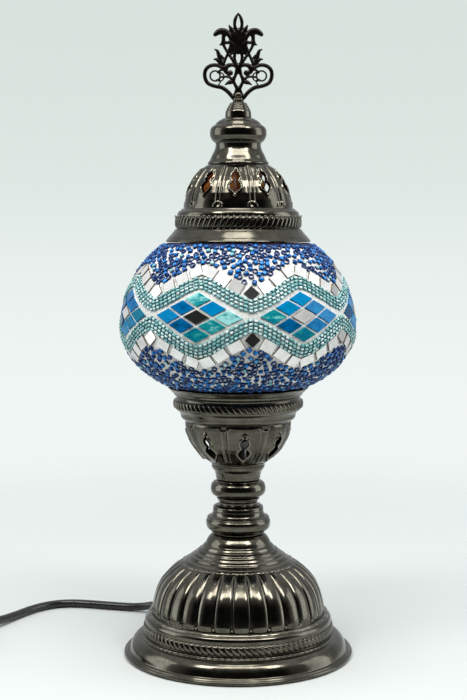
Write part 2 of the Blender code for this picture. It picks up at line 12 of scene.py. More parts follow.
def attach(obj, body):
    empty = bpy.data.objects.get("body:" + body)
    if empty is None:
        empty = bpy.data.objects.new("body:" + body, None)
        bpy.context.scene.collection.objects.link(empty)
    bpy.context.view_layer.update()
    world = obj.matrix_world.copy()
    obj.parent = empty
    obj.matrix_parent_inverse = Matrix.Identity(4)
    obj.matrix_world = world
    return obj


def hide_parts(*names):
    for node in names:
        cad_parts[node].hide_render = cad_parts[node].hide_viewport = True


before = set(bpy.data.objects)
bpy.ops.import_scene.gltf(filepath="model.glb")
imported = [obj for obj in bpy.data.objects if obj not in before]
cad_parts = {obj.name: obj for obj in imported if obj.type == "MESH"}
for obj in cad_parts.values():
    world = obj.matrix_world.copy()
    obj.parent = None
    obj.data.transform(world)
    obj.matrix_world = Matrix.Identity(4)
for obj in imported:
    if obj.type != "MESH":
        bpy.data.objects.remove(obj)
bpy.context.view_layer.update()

MM = 0.001
TAU = 2 * math.pi
SEED = 7
dice = np.random.default_rng(SEED)
scene = bpy.context.scene

# ---------------------------------------------------------------- camera
PITCH_DOWN = math.radians(4.961)
camera_data = bpy.data.cameras.new("camera")
camera_data.lens = 72.87
camera_data.sensor_width = 36.0
camera_data.clip_start, camera_data.clip_end = 0.01, 60.0
camera = bpy.data.objects.new("camera", camera_data)
camera.location = (-0.0026, -0.780, 0.2376)
camera.rotation_euler = (math.pi / 2 - PITCH_DOWN, 0.0, 0.0)
scene.collection.objects.link(camera)
scene.camera = camera


# ---------------------------------------------------------------- materials
class Look:
    """A small builder round one material's node tree."""

    def __init__(self, name):
        self.material = bpy.data.materials.new(name)
        self.material.use_nodes = True
        self.tree = self.material.node_tree
        self.shader = self.tree.nodes["Principled BSDF"]

    def set(self, **values):
        for key, value in values.items():
            self.shader.inputs[key.replace("_", " ")].default_value = value
        return self

    def node(self, kind, **settings):
        made = self.tree.nodes.new(kind)
        for key, value in settings.items():
            if key in made.inputs:
                made.inputs[key].default_value = value
            else:
                setattr(made, key, value)
        return made

    def link(self, source, target):
        self.tree.links.new(source, target)

    def place(self):
        return self.node("ShaderNodeTexCoord").outputs["Object"]

    def noise(self, scale, detail=3.0, roughness=0.55, stretch=None):
        """A noise factor. Scale is per metre."""
        texture = self.node("ShaderNodeTexNoise")
        texture.inputs["Scale"].default_value = scale
        texture.inputs["Detail"].default_value = detail
        texture.inputs["Roughness"].default_value = roughness
        source = self.place()
        if stretch:
            mapping = self.node("ShaderNodeMapping")
            mapping.inputs["Scale"].default_value = stretch
            self.link(source, mapping.inputs["Vector"])
            source = mapping.outputs["Vector"]
        self.link(source, texture.inputs["Vector"])
        return texture.outputs["Fac"]

    def ramp(self, source, *stops):
        """A colour ramp; each stop is (position, colour or grey)."""
        made = self.node("ShaderNodeValToRGB")
        elements = made.color_ramp.elements
        while len(elements) < len(stops):
            elements.new(0.5)
        for element, (position, colour) in zip(elements, stops):
            element.position = position
            if not hasattr(colour, "__len__"):
                colour = (colour, colour, colour)
            element.color = (*colour, 1.0)
        self.link(source, made.inputs["Fac"])
        return made.outputs["Color"]

    def mix(self, factor, a, b, blend="MIX"):
        made = self.node("ShaderNodeMix", data_type="RGBA", blend_type=blend)
        for socket, value in ((made.inputs[0], factor), (made.inputs[6], a), (made.inputs[7], b)):
            if hasattr(value, "is_linked"):
                self.link(value, socket)
            elif hasattr(value, "__len__"):
                socket.default_value = (*value, 1.0)
            else:
                socket.default_value = value
        return made.outputs[2]

    def attribute(self, name):
        return self.node("ShaderNodeAttribute", attribute_name=name)

    def bump(self, source, strength, distance_mm):
        made = self.node("ShaderNodeBump")
        made.inputs["Strength"].default_value = strength
        made.inputs["Distance"].default_value = distance_mm * MM
        self.link(source, made.inputs["Height"])
        previous = self.shader.inputs["Normal"]
        if previous.is_linked:
            self.link(previous.links[0].from_socket, made.inputs["Normal"])
        self.link(made.outputs["Normal"], previous)
        return self


def antique(name, light, dark, crevice, shine=(0.11, 0.21)):
    """Plated gunmetal with a faint patina, darker in hollows, and lighter where its attribute is high: rubbed wear on
    raised edges, and painted highlights on the neck's step rings, the scalloped edges, the flute shoulders and the
    window wires and ribs.
    """
    look = Look(name).set(Metallic=1.0)
    clouds = look.ramp(look.noise(120.0, 4.0, 0.6), (0.32, dark), (0.70, light))
    wear_and_light = look.attribute("wear_and_sheen").outputs["Fac"]
    hollow = look.ramp(wear_and_light, (0.04, 1.0), (0.36, 0.0))
    edge = look.ramp(wear_and_light, (0.6, 0.0), (1.0, 0.6))
    rubbed_and_lit = look.mix(edge, clouds, tuple(min(1.0, 1.9 * c) for c in light))
    speckle = look.ramp(look.noise(1500.0, 2.0, 0.7), (0.34, 0.66), (0.66, 1.0))
    mottled = look.mix(1.0, rubbed_and_lit, speckle, "MULTIPLY")
    look.link(look.mix(hollow, mottled, crevice), look.shader.inputs["Base Color"])
    gloss = look.ramp(look.noise(260.0, 4.0, 0.6), (0.3, shine[0]), (0.75, shine[1]))
    look.link(gloss, look.shader.inputs["Roughness"])
    look.bump(look.noise(75.0, 2.0, 0.5), 0.10, 0.5)
    look.bump(look.noise(900.0, 2.0, 0.5), 0.10, 0.06)
    return look.material


def plain_metal(name, colour, roughness, lathe_marks=True):
    look = Look(name).set(Metallic=1.0)
    tone = look.ramp(look.noise(300.0), (0.3, tuple(0.72 * c for c in colour)), (0.7, colour))
    look.link(tone, look.shader.inputs["Base Color"])
    rough = look.ramp(look.noise(900.0), (0.3, roughness * 0.8), (0.7, roughness * 1.3))
    look.link(rough, look.shader.inputs["Roughness"])
    stretch = (1.0, 1.0, 14.0) if lathe_marks else (3.0, 3.0, 3.0)
    look.bump(look.noise(500.0, 2.0, 0.5, stretch), 0.12, 0.08)
    return look.material


def plastic(name, colour, roughness, grain=1600.0, depth=0.05, coat=0.0):
    look = Look(name).set(Coat_Weight=coat, Coat_Roughness=0.12)
    tone = look.ramp(look.noise(140.0), (0.3, tuple(0.75 * c for c in colour)), (0.7, colour))
    look.link(tone, look.shader.inputs["Base Color"])
    rough = look.ramp(look.noise(grain * 0.5), (0.3, roughness * 0.85), (0.7, roughness * 1.2))
    look.link(rough, look.shader.inputs["Roughness"])
    look.bump(look.noise(grain, 3.0, 0.6), 0.25, depth)
    return look.material


BRONZE = antique("antique_bronze", (0.162, 0.152, 0.122), (0.086, 0.079, 0.062), (0.013, 0.012, 0.010))
DARK_BRONZE = antique("dark_bronze", (0.040, 0.035, 0.030), (0.020, 0.018, 0.015), (0.008, 0.007, 0.006), (0.3, 0.42))
STEEL = plain_metal("zinc_steel", (0.56, 0.56, 0.54), 0.34)
BRASS = plain_metal("bright_brass", (0.80, 0.58, 0.25), 0.26)
IRON = plain_metal("cast_iron", (0.10, 0.10, 0.10), 0.7, False)
PVC = plastic("black_pvc", (0.0085, 0.0085, 0.009), 0.26, coat=0.1)
PHENOLIC = plastic("black_phenolic", (0.014, 0.012, 0.011), 0.24, coat=0.1)


def felt_material():
    look = Look("black_felt").set(Roughness=0.95, Sheen_Weight=0.4, Sheen_Roughness=0.6)
    tone = look.ramp(look.noise(5200.0, 4.0, 0.7), (0.35, (0.008, 0.009, 0.008)), (0.7, (0.045, 0.047, 0.044)))
    look.link(tone, look.shader.inputs["Base Color"])
    look.bump(look.noise(4200.0, 4.0, 0.75), 0.6, 0.25)
    return look.material


FELT = felt_material()


# ---------------------------------------------------------------- mesh helpers
def soften(points, rounds=2, share=0.25):
    """Round an open outline's corners by cutting them, keeping its two ends."""
    points = [np.array(p, float) for p in points]
    for _ in range(rounds):
        cut = [points[0]]
        for a, b in zip(points, points[1:]):
            cut += [a + (b - a) * share, b - (b - a) * share]
        points = cut + [points[-1]]
        del points[1], points[-2]
    return points


def dense(points, step):
    """Split an outline's long stretches so that no step is longer than this."""
    made = [np.array(points[0], float)]
    for a, b in zip(points, points[1:]):
        a, b = np.array(a, float), np.array(b, float)
        parts = max(1, math.ceil(float(np.linalg.norm(b - a)) / step))
        made += [a + (b - a) * (i + 1) / parts for i in range(parts)]
    return made


def array_mesh(name, vertices, faces, smooth_angle=40.0):
    """A mesh from an array of corners in metres and arrays of faces that share one size each."""
    mesh = bpy.data.meshes.new(name)
    mesh.vertices.add(len(vertices))
    mesh.vertices.foreach_set("co", np.asarray(vertices, np.float32).ravel())
    groups = [np.asarray(f, np.int32) for f in (faces if isinstance(faces, list) else [faces])]
    corners = np.concatenate([g.ravel() for g in groups])
    sizes = np.concatenate([np.full(len(g), g.shape[1]) for g in groups])
    starts = np.concatenate([[0], np.cumsum(sizes)[:-1]])
    mesh.loops.add(len(corners))
    mesh.loops.foreach_set("vertex_index", corners)
    mesh.polygons.add(len(sizes))
    mesh.polygons.foreach_set("loop_start", starts.astype(np.int32))
    mesh.update(calc_edges=True)
    mesh.validate()
    mesh.shade_smooth()
    if smooth_angle:
        mesh.set_sharp_from_angle(angle=math.radians(smooth_angle))
    return mesh


def show(name, mesh, body, finish, stands_for=()):
    """Add a finished piece to the scene, on its body."""
    piece = bpy.data.objects.new(name, mesh)
    for own in finish if isinstance(finish, (list, tuple)) else [finish]:
        piece.data.materials.append(own)
    scene.collection.objects.link(piece)
    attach(piece, body)
    if stands_for:
        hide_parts(*stands_for)
    return piece


def lathe(name, outer, inner=(), columns=96, relief=None, step=1.2, smooth_angle=40.0):
    """A turned mesh: the outer side runs from top to bottom, the inner side back up. Without an inner side the
    outline ends on the axis. relief(bearing, radius, height) gives (proud, polish) for the outer side."""
    side = dense(outer, step)
    back = dense(inner, 3.0) if len(inner) else []
    outline = np.array(side + back)
    before, after = np.roll(outline, 1, 0), np.roll(outline, -1, 0)
    if not len(inner):
        before[0], after[-1] = outline[0], outline[-1]
    tangent = after - before
    tangent /= np.maximum(np.linalg.norm(tangent, axis=1, keepdims=True), 1e-9)
    normal = np.stack([-tangent[:, 1], tangent[:, 0]], 1)
    bearing = np.linspace(0, TAU, columns, endpoint=False)
    turn, radius = np.meshgrid(bearing, outline[:, 0])
    height = np.meshgrid(bearing, outline[:, 1])[1]
    wear_and_sheen = np.full(turn.shape, 0.5)
    if relief:
        facing = np.zeros(len(outline))
        facing[1 : len(side) - 1] = 1.0
        proud, wear_and_light = relief(turn, radius, height)
        radius = radius + proud * (facing * normal[:, 0])[:, None]
        height = height + proud * (facing * normal[:, 1])[:, None]
        wear_and_sheen = np.where(facing[:, None] > 0, wear_and_light, 0.5)
    vertices = np.stack([radius * np.sin(turn), -radius * np.cos(turn), height], -1)
    rows = len(outline)
    index = np.arange(rows * columns).reshape(rows, columns)
    down = np.roll(index, -1, 0) if len(inner) else index[1:]
    here = index if len(inner) else index[:-1]
    faces = np.stack([here, down, np.roll(down, -1, 1), np.roll(here, -1, 1)], -1).reshape(-1, 4)
    flat = vertices.reshape(-1, 3) * MM
    wear_and_sheen = wear_and_sheen.reshape(-1)
    merged = []
    for row in (0, rows - 1) if not len(inner) else ():
        if outline[row, 0] < 1e-6:
            merged.append(row)
    if merged:
        keep = np.arange(rows * columns)
        for row in merged:
            keep[index[row]] = index[row, 0]
        faces = keep[faces]
        triangles = []
        same = [faces[:, i] == faces[:, (i + 1) % 4] for i in range(4)]
        bad = np.any(same, axis=0)
        quads = faces[~bad]
        for face in faces[bad]:
            corners = [c for i, c in enumerate(face) if c != face[(i + 1) % 4]]
            triangles.append(corners)
        used, compact = np.unique(np.concatenate([quads.ravel(), np.ravel(triangles)]), return_inverse=True)
        flat, wear_and_sheen = flat[used], wear_and_sheen[used]
        quads = compact[: quads.size].reshape(-1, 4)
        triangles = compact[quads.size :].reshape(-1, 3)
        faces = [quads, triangles]
    mesh = array_mesh(name, flat, faces, smooth_angle)
    wear_and_light = mesh.attributes.new("wear_and_sheen", "FLOAT", "POINT")
    wear_and_light.data.foreach_set("value", wear_and_sheen.astype(np.float32))
    return mesh


def show_turned(name, turning, body, finish, stands_for=()):
    """Turn a piece and show it; turning holds what lathe takes after the name."""
    return show(name, lathe(name, *turning), body, finish, stands_for)


def smoothstep(low, high, value):
    t = np.clip((value - low) / (high - low), 0, 1)
    return t * t * (3 - 2 * t)


def wrapped(bearing, count, first=0.0):
    """How far a bearing is from the nearest of count evenly spaced ones, in radians."""
    pitch = TAU / count
    return (bearing - first + pitch / 2) % pitch - pitch / 2


def bead_band(count, low, high, slant, proud):
    """Relief of a ring of long slanted beads between two heights."""
    middle, half = (low + high) / 2, (high - low) / 2

    def relief(bearing, radius, height):
        level = np.clip((height - middle) / half, -1, 1)
        place = (count * bearing / TAU + slant * level) % 1.0 * 2 - 1
        across = np.sqrt(np.clip(1 - (place * 1.04) ** 2, 0, 1))
        along = np.clip(1 - level**4, 0, 1) ** 0.6
        shape = across * along
        return proud * shape, 0.12 + 0.5 * shape

    return relief


# ---------------------------------------------------------------- mains lead, first because its room matters
CORD_DIAMETER = 0.0048
ROUTE_TO_SWITCH = [
    (-0.0394, 0.0619, 0.0083),
    (-0.0430, 0.0676, 0.0079),
    (-0.0477, 0.0731, 0.0066),
    (-0.0530, 0.0775, 0.0050),
    (-0.0586, 0.0806, 0.0035),
    (-0.0648, 0.0829, 0.0026),
    (-0.0740, 0.0855, 0.0024),
    (-0.0850, 0.0884, 0.0024),
    (-0.0940, 0.0908, 0.0024),
    (-0.1025, 0.0922, 0.0024),
    (-0.1110, 0.0912, 0.0024),
    (-0.1195, 0.0865, 0.0024),
    (-0.1275, 0.0775, 0.0024),
    (-0.1350, 0.0645, 0.0025),
    (-0.1415, 0.0514, 0.0034),
    (-0.1477, 0.0390, 0.0054),
    (-0.1520, 0.0303, 0.0069),
    (-0.1543, 0.0256, 0.0070),
]
ROUTE_TO_COIL = [
    (-0.1801, -0.0276, 0.0070),
    (-0.1830, -0.0335, 0.0067),
    (-0.1863, -0.0402, 0.0052),
]
ROUTE_TO_PLUG = [
    (-0.2645, -0.0438, 0.0024),
    (-0.2645, -0.0360, 0.0028),
    (-0.2645, -0.0290, 0.0044),
    (-0.2645, -0.0215, 0.0064),
    (-0.2645, -0.0123, 0.0072),
]
COIL_CENTRE = (-0.2255, -0.0438)
OUTER_LANE = 0.0337
COIL_TURNS = 8 + 154 / 360
POINTS_PER_TURN = 24


def coil_point(turns):
    """A point of the wound part: four lanes inwards on the table, up, four lanes outwards on top of them, and
    down beside the coil towards the plug. It runs clockwise seen from above."""
    lane = int(turns) + float(smoothstep(0.85, 1.0, turns % 1.0))
    inner = min(lane, 3.0) if turns < 4 else max(0.0, 7.0 - lane)
    radius = OUTER_LANE - inner * CORD_DIAMETER
    height = CORD_DIAMETER * (0.5 + float(smoothstep(3.55, 4.0, turns)))
    if turns > 8:
        radius = OUTER_LANE
    fall = math.pi / 2 * float(smoothstep(8.03, 8.38, turns))
    radius += 0.0053 * math.sin(fall)
    height -= CORD_DIAMETER * (1 - math.cos(fall))
    angle = math.radians(-26.0) - turns * TAU
    return (
        COIL_CENTRE[0] + radius * math.cos(angle),
        COIL_CENTRE[1] + radius * math.sin(angle),
        height,
    )


through_switch = [
    (-0.1610, 0.0116, 0.0061),
    (-0.1672, -0.0010, 0.0056),
    (-0.1735, -0.0139, 0.0061),
]
cord_route = ROUTE_TO_SWITCH + through_switch + ROUTE_TO_COIL
coil_steps = round(COIL_TURNS * POINTS_PER_TURN)
cord_route += [coil_point(COIL_TURNS * i / coil_steps) for i in range(coil_steps)]
cord_route += ROUTE_TO_PLUG


def round_curve(name, route, radius, finish, resolution=6):
    """A smooth round tube along points in metres, as one open curve."""
    data = bpy.data.curves.new(name, "CURVE")
    data.dimensions = "3D"
    data.bevel_depth = radius
    data.bevel_resolution = 5
    data.resolution_u = resolution
    data.use_fill_caps = True
    spline = data.splines.new("BEZIER")
    spline.bezier_points.add(len(route) - 1)
    for i, (point, place) in enumerate(zip(spline.bezier_points, route)):
        here = Vector(place)
        before = Vector(route[max(i - 1, 0)])
        after = Vector(route[min(i + 1, len(route) - 1)])
        along = (after - before).normalized()
        point.co = here
        point.handle_left = here - along * (here - before).length / 3
        point.handle_right = here + along * (after - here).length / 3
    data.materials.append(finish)
    return bpy.data.objects.new(name, data)


mains_cord = round_curve("mains_cord", cord_route, CORD_DIAMETER / 2, PVC)
scene.collection.objects.link(mains_cord)
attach(mains_cord, "stand")
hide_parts("cord_to_switch", "cord_to_coil", "cord_coil", "cord_to_plug")


# ---------------------------------------------------------------- base
FLUTES = 30
FLUTE_LOW, FLUTE_HIGH, FLUTE_DEPTH = 24.4, 51.4, 1.15


def flutes(bearing, radius, height):
    """Convex lobes side by side on the base's dome, with rounded ends and narrow valleys between them."""
    across = wrapped(bearing, FLUTES, math.radians(FIRST_FLUTE)) / (math.pi / FLUTES)
    foot = smoothstep(FLUTE_LOW - 0.2, FLUTE_LOW + 2.0, height)
    crown = smoothstep(FLUTE_HIGH + 0.4, FLUTE_HIGH - 3.2, height)
    ends = np.sqrt(np.clip(foot * crown, 0, 1))
    lobe = np.clip(1 - np.abs(across) ** 2.7, 0, 1) ** 0.72
    proud = FLUTE_DEPTH * (lobe - 0.62) * ends - 0.05
    # The valleys' darker tone is patina in hollows; the bright lines along the lobes' shoulders are painted
    # highlights.
    shoulder = np.exp(-(((np.abs(across) - 0.74) / 0.11) ** 2))
    wear_and_sheen = 0.5 - 0.38 * (1 - lobe) ** 3 * ends + 0.28 * shoulder * ends
    return proud, np.clip(wear_and_sheen, 0, 1)


FIRST_FLUTE = 2.0
dome_side = [(5.6, 54.0), (25.6, 54.0), (27.4, 53.6), (31.4, 51.5), (36.3, 48.2), (39.9, 44.7), (42.8, 41.3)]
dome_side += [(44.7, 37.9), (46.0, 34.5), (47.2, 29.9), (47.8, 26.5), (48.1, 23.6)]
dome_back = [(46.3, 23.6), (45.8, 30.0), (42.8, 38.0), (36.0, 46.2), (28.8, 51.0), (22.0, 53.1), (5.6, 53.1)]
base_dome = lathe("base_dome", soften(dome_side, 2), dome_back, 720, flutes, 0.55, 60)


FLANGE_BEADS, BEADS_LOW, BEADS_HIGH = 96, 12.5, 17.6


def flange_relief(bearing, radius, height):
    """The base's bead ring, the row of short dashes under it, and the scalloped edge of the ledge."""
    proud, wear_and_sheen = bead_band(FLANGE_BEADS, BEADS_LOW, BEADS_HIGH, 0.35, 0.8)(bearing, radius, height)
    inside = (height > BEADS_LOW) & (height < BEADS_HIGH) & (radius > 51)
    proud, wear_and_sheen = np.where(inside, proud, 0.0), np.where(inside, wear_and_sheen, 0.5)
    dash = np.abs((FLANGE_BEADS * bearing / TAU) % 1.0 * 2 - 1) < 0.62
    row = np.exp(-(((height - 11.35) / 0.5) ** 2)) * (radius > 52.4)
    proud = proud + 0.4 * row * dash
    wear_and_sheen = wear_and_sheen + 0.3 * row * dash - 0.42 * row * ~dash
    edge = (height > 22.5) & (radius > 47.9)
    scallop = 0.22 * np.abs(np.cos(FLUTES / 2 * (bearing - math.radians(FIRST_FLUTE))))
    proud = proud + np.where(edge, scallop, 0.0)
    # Painted highlight: the ledge's scalloped edge is painted bright all round.
    wear_and_sheen = np.where(edge, 0.95, wear_and_sheen)
    return proud, np.clip(wear_and_sheen, 0.0, 1.0)


flange_side = [(47.6, 23.3), (48.8, 23.55), (49.8, 23.3), (50.4, 22.7), (50.5, 22.1), (51.1, 21.8), (51.7, 21.1)]
flange_side += [(52.0, 20.1), (52.1, 18.5), (51.8, 17.9), (52.0, 17.5), (52.4, 15.1), (52.2, 12.7), (52.1, 12.2)]
flange_side += [(52.7, 12.0), (53.5, 11.6), (53.6, 11.0), (54.1, 10.7), (55.6, 10.5), (56.9, 9.9), (58.1, 8.9)]
flange_side += [(59.1, 7.6), (59.9, 6.0), (60.4, 4.5), (60.7, 3.4), (61.1, 3.0), (61.9, 3.1), (62.3, 2.8)]
flange_side += [(62.6, 2.3), (63.1, 2.4), (63.7, 2.0), (63.9, 1.3), (63.7, 0.6), (63.2, 0.35)]
flange_back = [(61.2, 0.35), (61.0, 1.6), (59.2, 2.0), (58.7, 4.6), (56.0, 8.0), (51.2, 10.6), (50.7, 20.6)]
flange_back += [(49.4, 21.4), (47.6, 22.2)]
base_flange = lathe("base_flange", soften(flange_side, 2, 0.22), flange_back, 960, flange_relief, 0.42, 50)
base = show("base_dome", base_dome, "stand", BRONZE, ["base_shell"])
show("base_flange", base_flange, "stand", BRONZE)


def studs(name, count, radius, height, size, body, first=0.0, squash=0.6, ring=False, lift=0.0):
    """A row of small round dots, or rings, standing on a turned surface, joined in one mesh."""
    work = bmesh.new()
    for i in range(count):
        bearing = first + TAU * i / count
        place = (
            Matrix.Rotation(bearing, 4, "Z")
            @ Matrix.Translation((0, -radius * MM, height * MM))
            @ Matrix.Rotation(lift, 4, "X")
        )
        if ring:
            sides, tube_sides = 12, 6
            grid = []
            for a in range(sides):
                row = []
                for b in range(tube_sides):
                    turn, curl = TAU * a / sides, TAU * b / tube_sides
                    reach = size * (1 + 0.36 * math.cos(curl))
                    point = Vector((reach * math.cos(turn), -size * 0.36 * math.sin(curl), reach * math.sin(turn)))
                    row.append(work.verts.new(place @ (point * MM)))
                grid.append(row)
            for a in range(sides):
                for b in range(tube_sides):
                    c, d = (a + 1) % sides, (b + 1) % tube_sides
                    work.faces.new((grid[a][b], grid[a][d], grid[c][d], grid[c][b]))
        else:
            shape = place @ Matrix.Diagonal((1, squash, 1, 1))
            bmesh.ops.create_icosphere(work, subdivisions=2, radius=size * MM, matrix=shape)
    bmesh.ops.recalc_face_normals(work, faces=work.faces)
    mesh = bpy.data.meshes.new(name)
    work.to_mesh(mesh)
    work.free()
    mesh.shade_smooth()
    wear_and_light = mesh.attributes.new("wear_and_sheen", "FLOAT", "POINT")
    wear_and_light.data.foreach_set("value", np.full(len(mesh.vertices), 1.0, np.float32))
    return show(name, mesh, body, BRONZE)


HALF_FLUTE = math.radians(FIRST_FLUTE + 180 / FLUTES)
studs("base_valley_dots", FLUTES, 48.1, 24.8, 0.72, "stand", HALF_FLUTE)
studs("base_bead_dots", FLANGE_BEADS, 52.35, 17.75, 0.42, "stand", 0.02)

# ---------------------------------------------------------------- neck and stem
neck_side = [(8.0, 67.6), (13.9, 67.6), (14.7, 67.3), (15.0, 66.9), (15.8, 66.3), (17.0, 64.7), (17.6, 63.6)]
neck_side += [(18.0, 62.5), (18.4, 61.7), (19.2, 61.3), (19.6, 60.8), (20.0, 60.1), (20.3, 59.4), (21.2, 59.1)]
neck_side += [(22.1, 58.8), (22.5, 58.1), (22.9, 57.4), (24.3, 57.0), (24.7, 56.3), (25.1, 55.8), (26.5, 55.4)]
neck_side += [(27.0, 54.6), (27.3, 54.0), (28.9, 53.5), (29.7, 52.9), (30.1, 52.4), (31.2, 52.0), (32.0, 51.5)]
neck_side += [(31.8, 51.0)]
neck_back = [(30.6, 51.7), (27.2, 53.5), (25.0, 54.1), (16.6, 60.2), (13.0, 65.8), (6.0, 65.8), (6.0, 67.6)]


def neck_scallop(bearing, radius, height):
    """The scalloped lower edge, and thin rings where the neck steps, both painted bright as highlights."""
    edge = (height < 51.9) & (radius > 30.8)
    wave = 0.28 * np.cos(FLUTES * (bearing - math.radians(FIRST_FLUTE)))
    rings = sum(np.exp(-(((height - level) / 0.45) ** 2)) for level in (60.4, 57.2, 55.5, 53.3))
    return np.where(edge, wave, 0.0), np.where(edge, 0.95, 0.42 + 0.5 * np.clip(rings, 0, 1))


show(
    "neck_of_base",
    lathe("neck_of_base", soften(neck_side, 2, 0.22), neck_back, 360, neck_scallop, 0.6, 50),
    "stand",
    BRONZE,
    ["base_neck"],
)

ring_side = [(6.0, 83.3), (12.6, 83.3), (13.6, 83.1), (13.9, 82.6), (13.9, 81.9), (14.1, 81.4), (14.1, 80.2)]
ring_side += [(14.3, 79.0), (14.7, 78.3), (15.5, 77.6), (16.8, 77.3), (17.3, 76.8), (17.2, 76.2), (17.6, 75.7)]
ring_side += [(17.9, 74.8), (17.9, 73.0), (17.6, 71.4), (17.0, 70.5), (16.2, 69.8), (15.5, 69.2), (14.6, 68.6)]
ring_side += [(14.6, 68.0), (6.0, 68.0)]
collar_side = [(6.0, 88.3), (11.2, 88.3), (12.0, 88.0), (12.0, 87.5), (11.6, 87.0), (11.5, 86.4), (10.9, 86.0)]
collar_side += [(10.5, 85.5), (10.4, 84.6), (10.8, 84.1), (12.3, 83.9), (12.5, 83.7), (6.0, 83.7)]
knob_side = [(6.0, 97.9), (11.3, 97.9), (12.1, 97.6), (12.3, 97.2), (13.1, 97.0), (14.1, 96.4), (14.9, 95.2)]
knob_side += [(15.2, 93.8), (15.3, 92.4), (15.1, 91.0), (14.5, 89.9), (13.9, 89.4), (13.3, 89.2), (13.0, 88.9)]
knob_side += [(12.2, 88.7), (6.0, 88.7)]
for name, side, node in (
    ("stem_ring", ring_side, "stem_lower_ring"),
    ("stem_collar_ring", collar_side, "stem_collar"),
    ("stem_upper_knob", knob_side, "stem_knob"),
):
    back = [(5.6, side[-1][1]), (5.6, side[0][1])]
    mesh = lathe(name, soften(side, 2, 0.24), back, 128, None, 0.7, 50)
    show(name, mesh, "stand", BRONZE, [node])


# ---------------------------------------------------------------- pierced cup and cap
MOTIF_RIGHT = [
    (0.50, 12.75),
    (0.62, 12.2),
    (0.42, 11.65),
    (0.95, 11.1),
    (1.75, 10.4),
    (2.25, 9.5),
    (2.30, 8.6),
    (1.85, 7.7),
    (1.25, 7.0),
    (1.20, 6.4),
    (1.75, 5.7),
    (2.65, 4.7),
    (3.00, 3.6),
    (2.75, 2.8),
    (1.60, 1.5),
]


def motif_outline(height=13.1, size=1.0):
    """The pierced window: a small point, a round lobe, a waist and a pointed shield, as (across, up) from its
    middle."""
    scale = height / 13.1 * size
    right = [(x * size, (y - 6.55) * scale) for x, y in MOTIF_RIGHT]
    left = [(-x, y) for x, y in reversed(right)]
    return [(0.0, 6.55 * scale)] + right + [(0.0, -6.45 * scale)] + left


def distance_to_loop(across, up, loop):
    """Distance of each point to a closed outline, and whether it is inside."""
    nearest = np.full(across.shape, 1e9)
    crossings = np.zeros(across.shape, int)
    for (ax, ay), (bx, by) in zip(loop, loop[1:] + loop[:1]):
        dx, dy = bx - ax, by - ay
        t = np.clip(((across - ax) * dx + (up - ay) * dy) / (dx * dx + dy * dy), 0, 1)
        nearest = np.minimum(nearest, np.hypot(across - ax - t * dx, up - ay - t * dy))
        spans = (ay > up) != (by > up)
        at = ax + dx * (up - ay) / (dy if abs(dy) > 1e-9 else 1e-9)
        crossings += spans & (across < at)
    return nearest, crossings % 2 == 1


def window_rims(count, first, middle, loop, reach=12.0):
    """Relief of a raised wire round each window, with a drop under its point, both painted bright: partly rubbed wear,
    partly painted highlight.
    """

    def relief(bearing, radius, height):
        across = wrapped(bearing, count, math.radians(first)) * radius
        up = height - middle
        near = (np.abs(across) < 6) & (np.abs(up) < reach)
        proud, wear_and_sheen = np.zeros(across.shape), np.zeros(across.shape)
        gap, inside = distance_to_loop(across[near], up[near], loop)
        wire = np.exp(-(((gap - 0.4) / 0.46) ** 2)) * ~inside
        bottom = min(y for _, y in loop)
        drop = np.exp(-((across[near] / 0.6) ** 2 + ((up[near] - bottom + 1.3) / 0.65) ** 2))
        proud[near] = 0.62 * wire + 0.85 * drop
        wear_and_sheen[near] = 1.35 * np.maximum(wire, drop)
        return proud, wear_and_sheen

    return relief


def ribs(count, first, half_gap, tall, width):
    """Relief of double raised lines, evenly spaced, that come closer where the radius is smaller."""

    def relief(bearing, radius, height):
        away = np.abs(wrapped(bearing, count, math.radians(first))) * radius
        gap = half_gap * np.sqrt(radius / 30.0)
        line = np.exp(-(((away - gap) / width) ** 2))
        hollow = np.exp(-((away / (gap * 0.6)) ** 2))
        return tall * line - 0.25 * tall * hollow, line, away

    return relief


def punch(mesh, name, count, first, middle, loop, near, far):
    """Cut a ring of windows, each pointing outwards, through a turned mesh, and return the new mesh."""
    work = bmesh.new()
    for i in range(count):
        turn = Matrix.Rotation(math.radians(first) + TAU * i / count, 4, "Z")
        ends = []
        for reach in (near, far):
            points = [Vector((x * MM, -reach * MM, (middle + y) * MM)) for x, y in loop]
            ends.append([work.verts.new(turn @ p) for p in points])
        work.faces.new(ends[0])
        work.faces.new(list(reversed(ends[1])))
        for k in range(len(loop)):
            m = (k + 1) % len(loop)
            work.faces.new((ends[0][m], ends[0][k], ends[1][k], ends[1][m]))
    bmesh.ops.recalc_face_normals(work, faces=work.faces)
    cutter_mesh = bpy.data.meshes.new(name + "_cutter")
    work.to_mesh(cutter_mesh)
    work.free()
    cutter = bpy.data.objects.new(name + "_cutter", cutter_mesh)
    target = bpy.data.objects.new(name + "_blank", mesh)
    scene.collection.objects.link(cutter)
    scene.collection.objects.link(target)
    boolean = target.modifiers.new("Windows", "BOOLEAN")
    boolean.operation = "DIFFERENCE"
    boolean.solver = "EXACT"
    boolean.object = cutter
    bpy.context.view_layer.update()
    graph = bpy.context.evaluated_depsgraph_get()
    made = bpy.data.meshes.new_from_object(target.evaluated_get(graph))
    made.name = name
    for thing in (target, cutter):
        bpy.data.objects.remove(thing, do_unlink=True)
    return made


def line_inside(mesh, radius_at, low, high):
    """Give the faces of a shell's inner wall between two heights, those that face the axis, the second material."""
    for face in mesh.polygons:
        if not low < face.center.z / MM < high:
            continue
        outward = Vector((face.center.x, face.center.y, 0.0))
        towards = face.normal.x * outward.x + face.normal.y * outward.y
        inner = outward.length / MM < radius_at(face.center.z / MM)
        if inner and (towards < 0 or face.normal.z < 0.2):
            face.material_index = 1


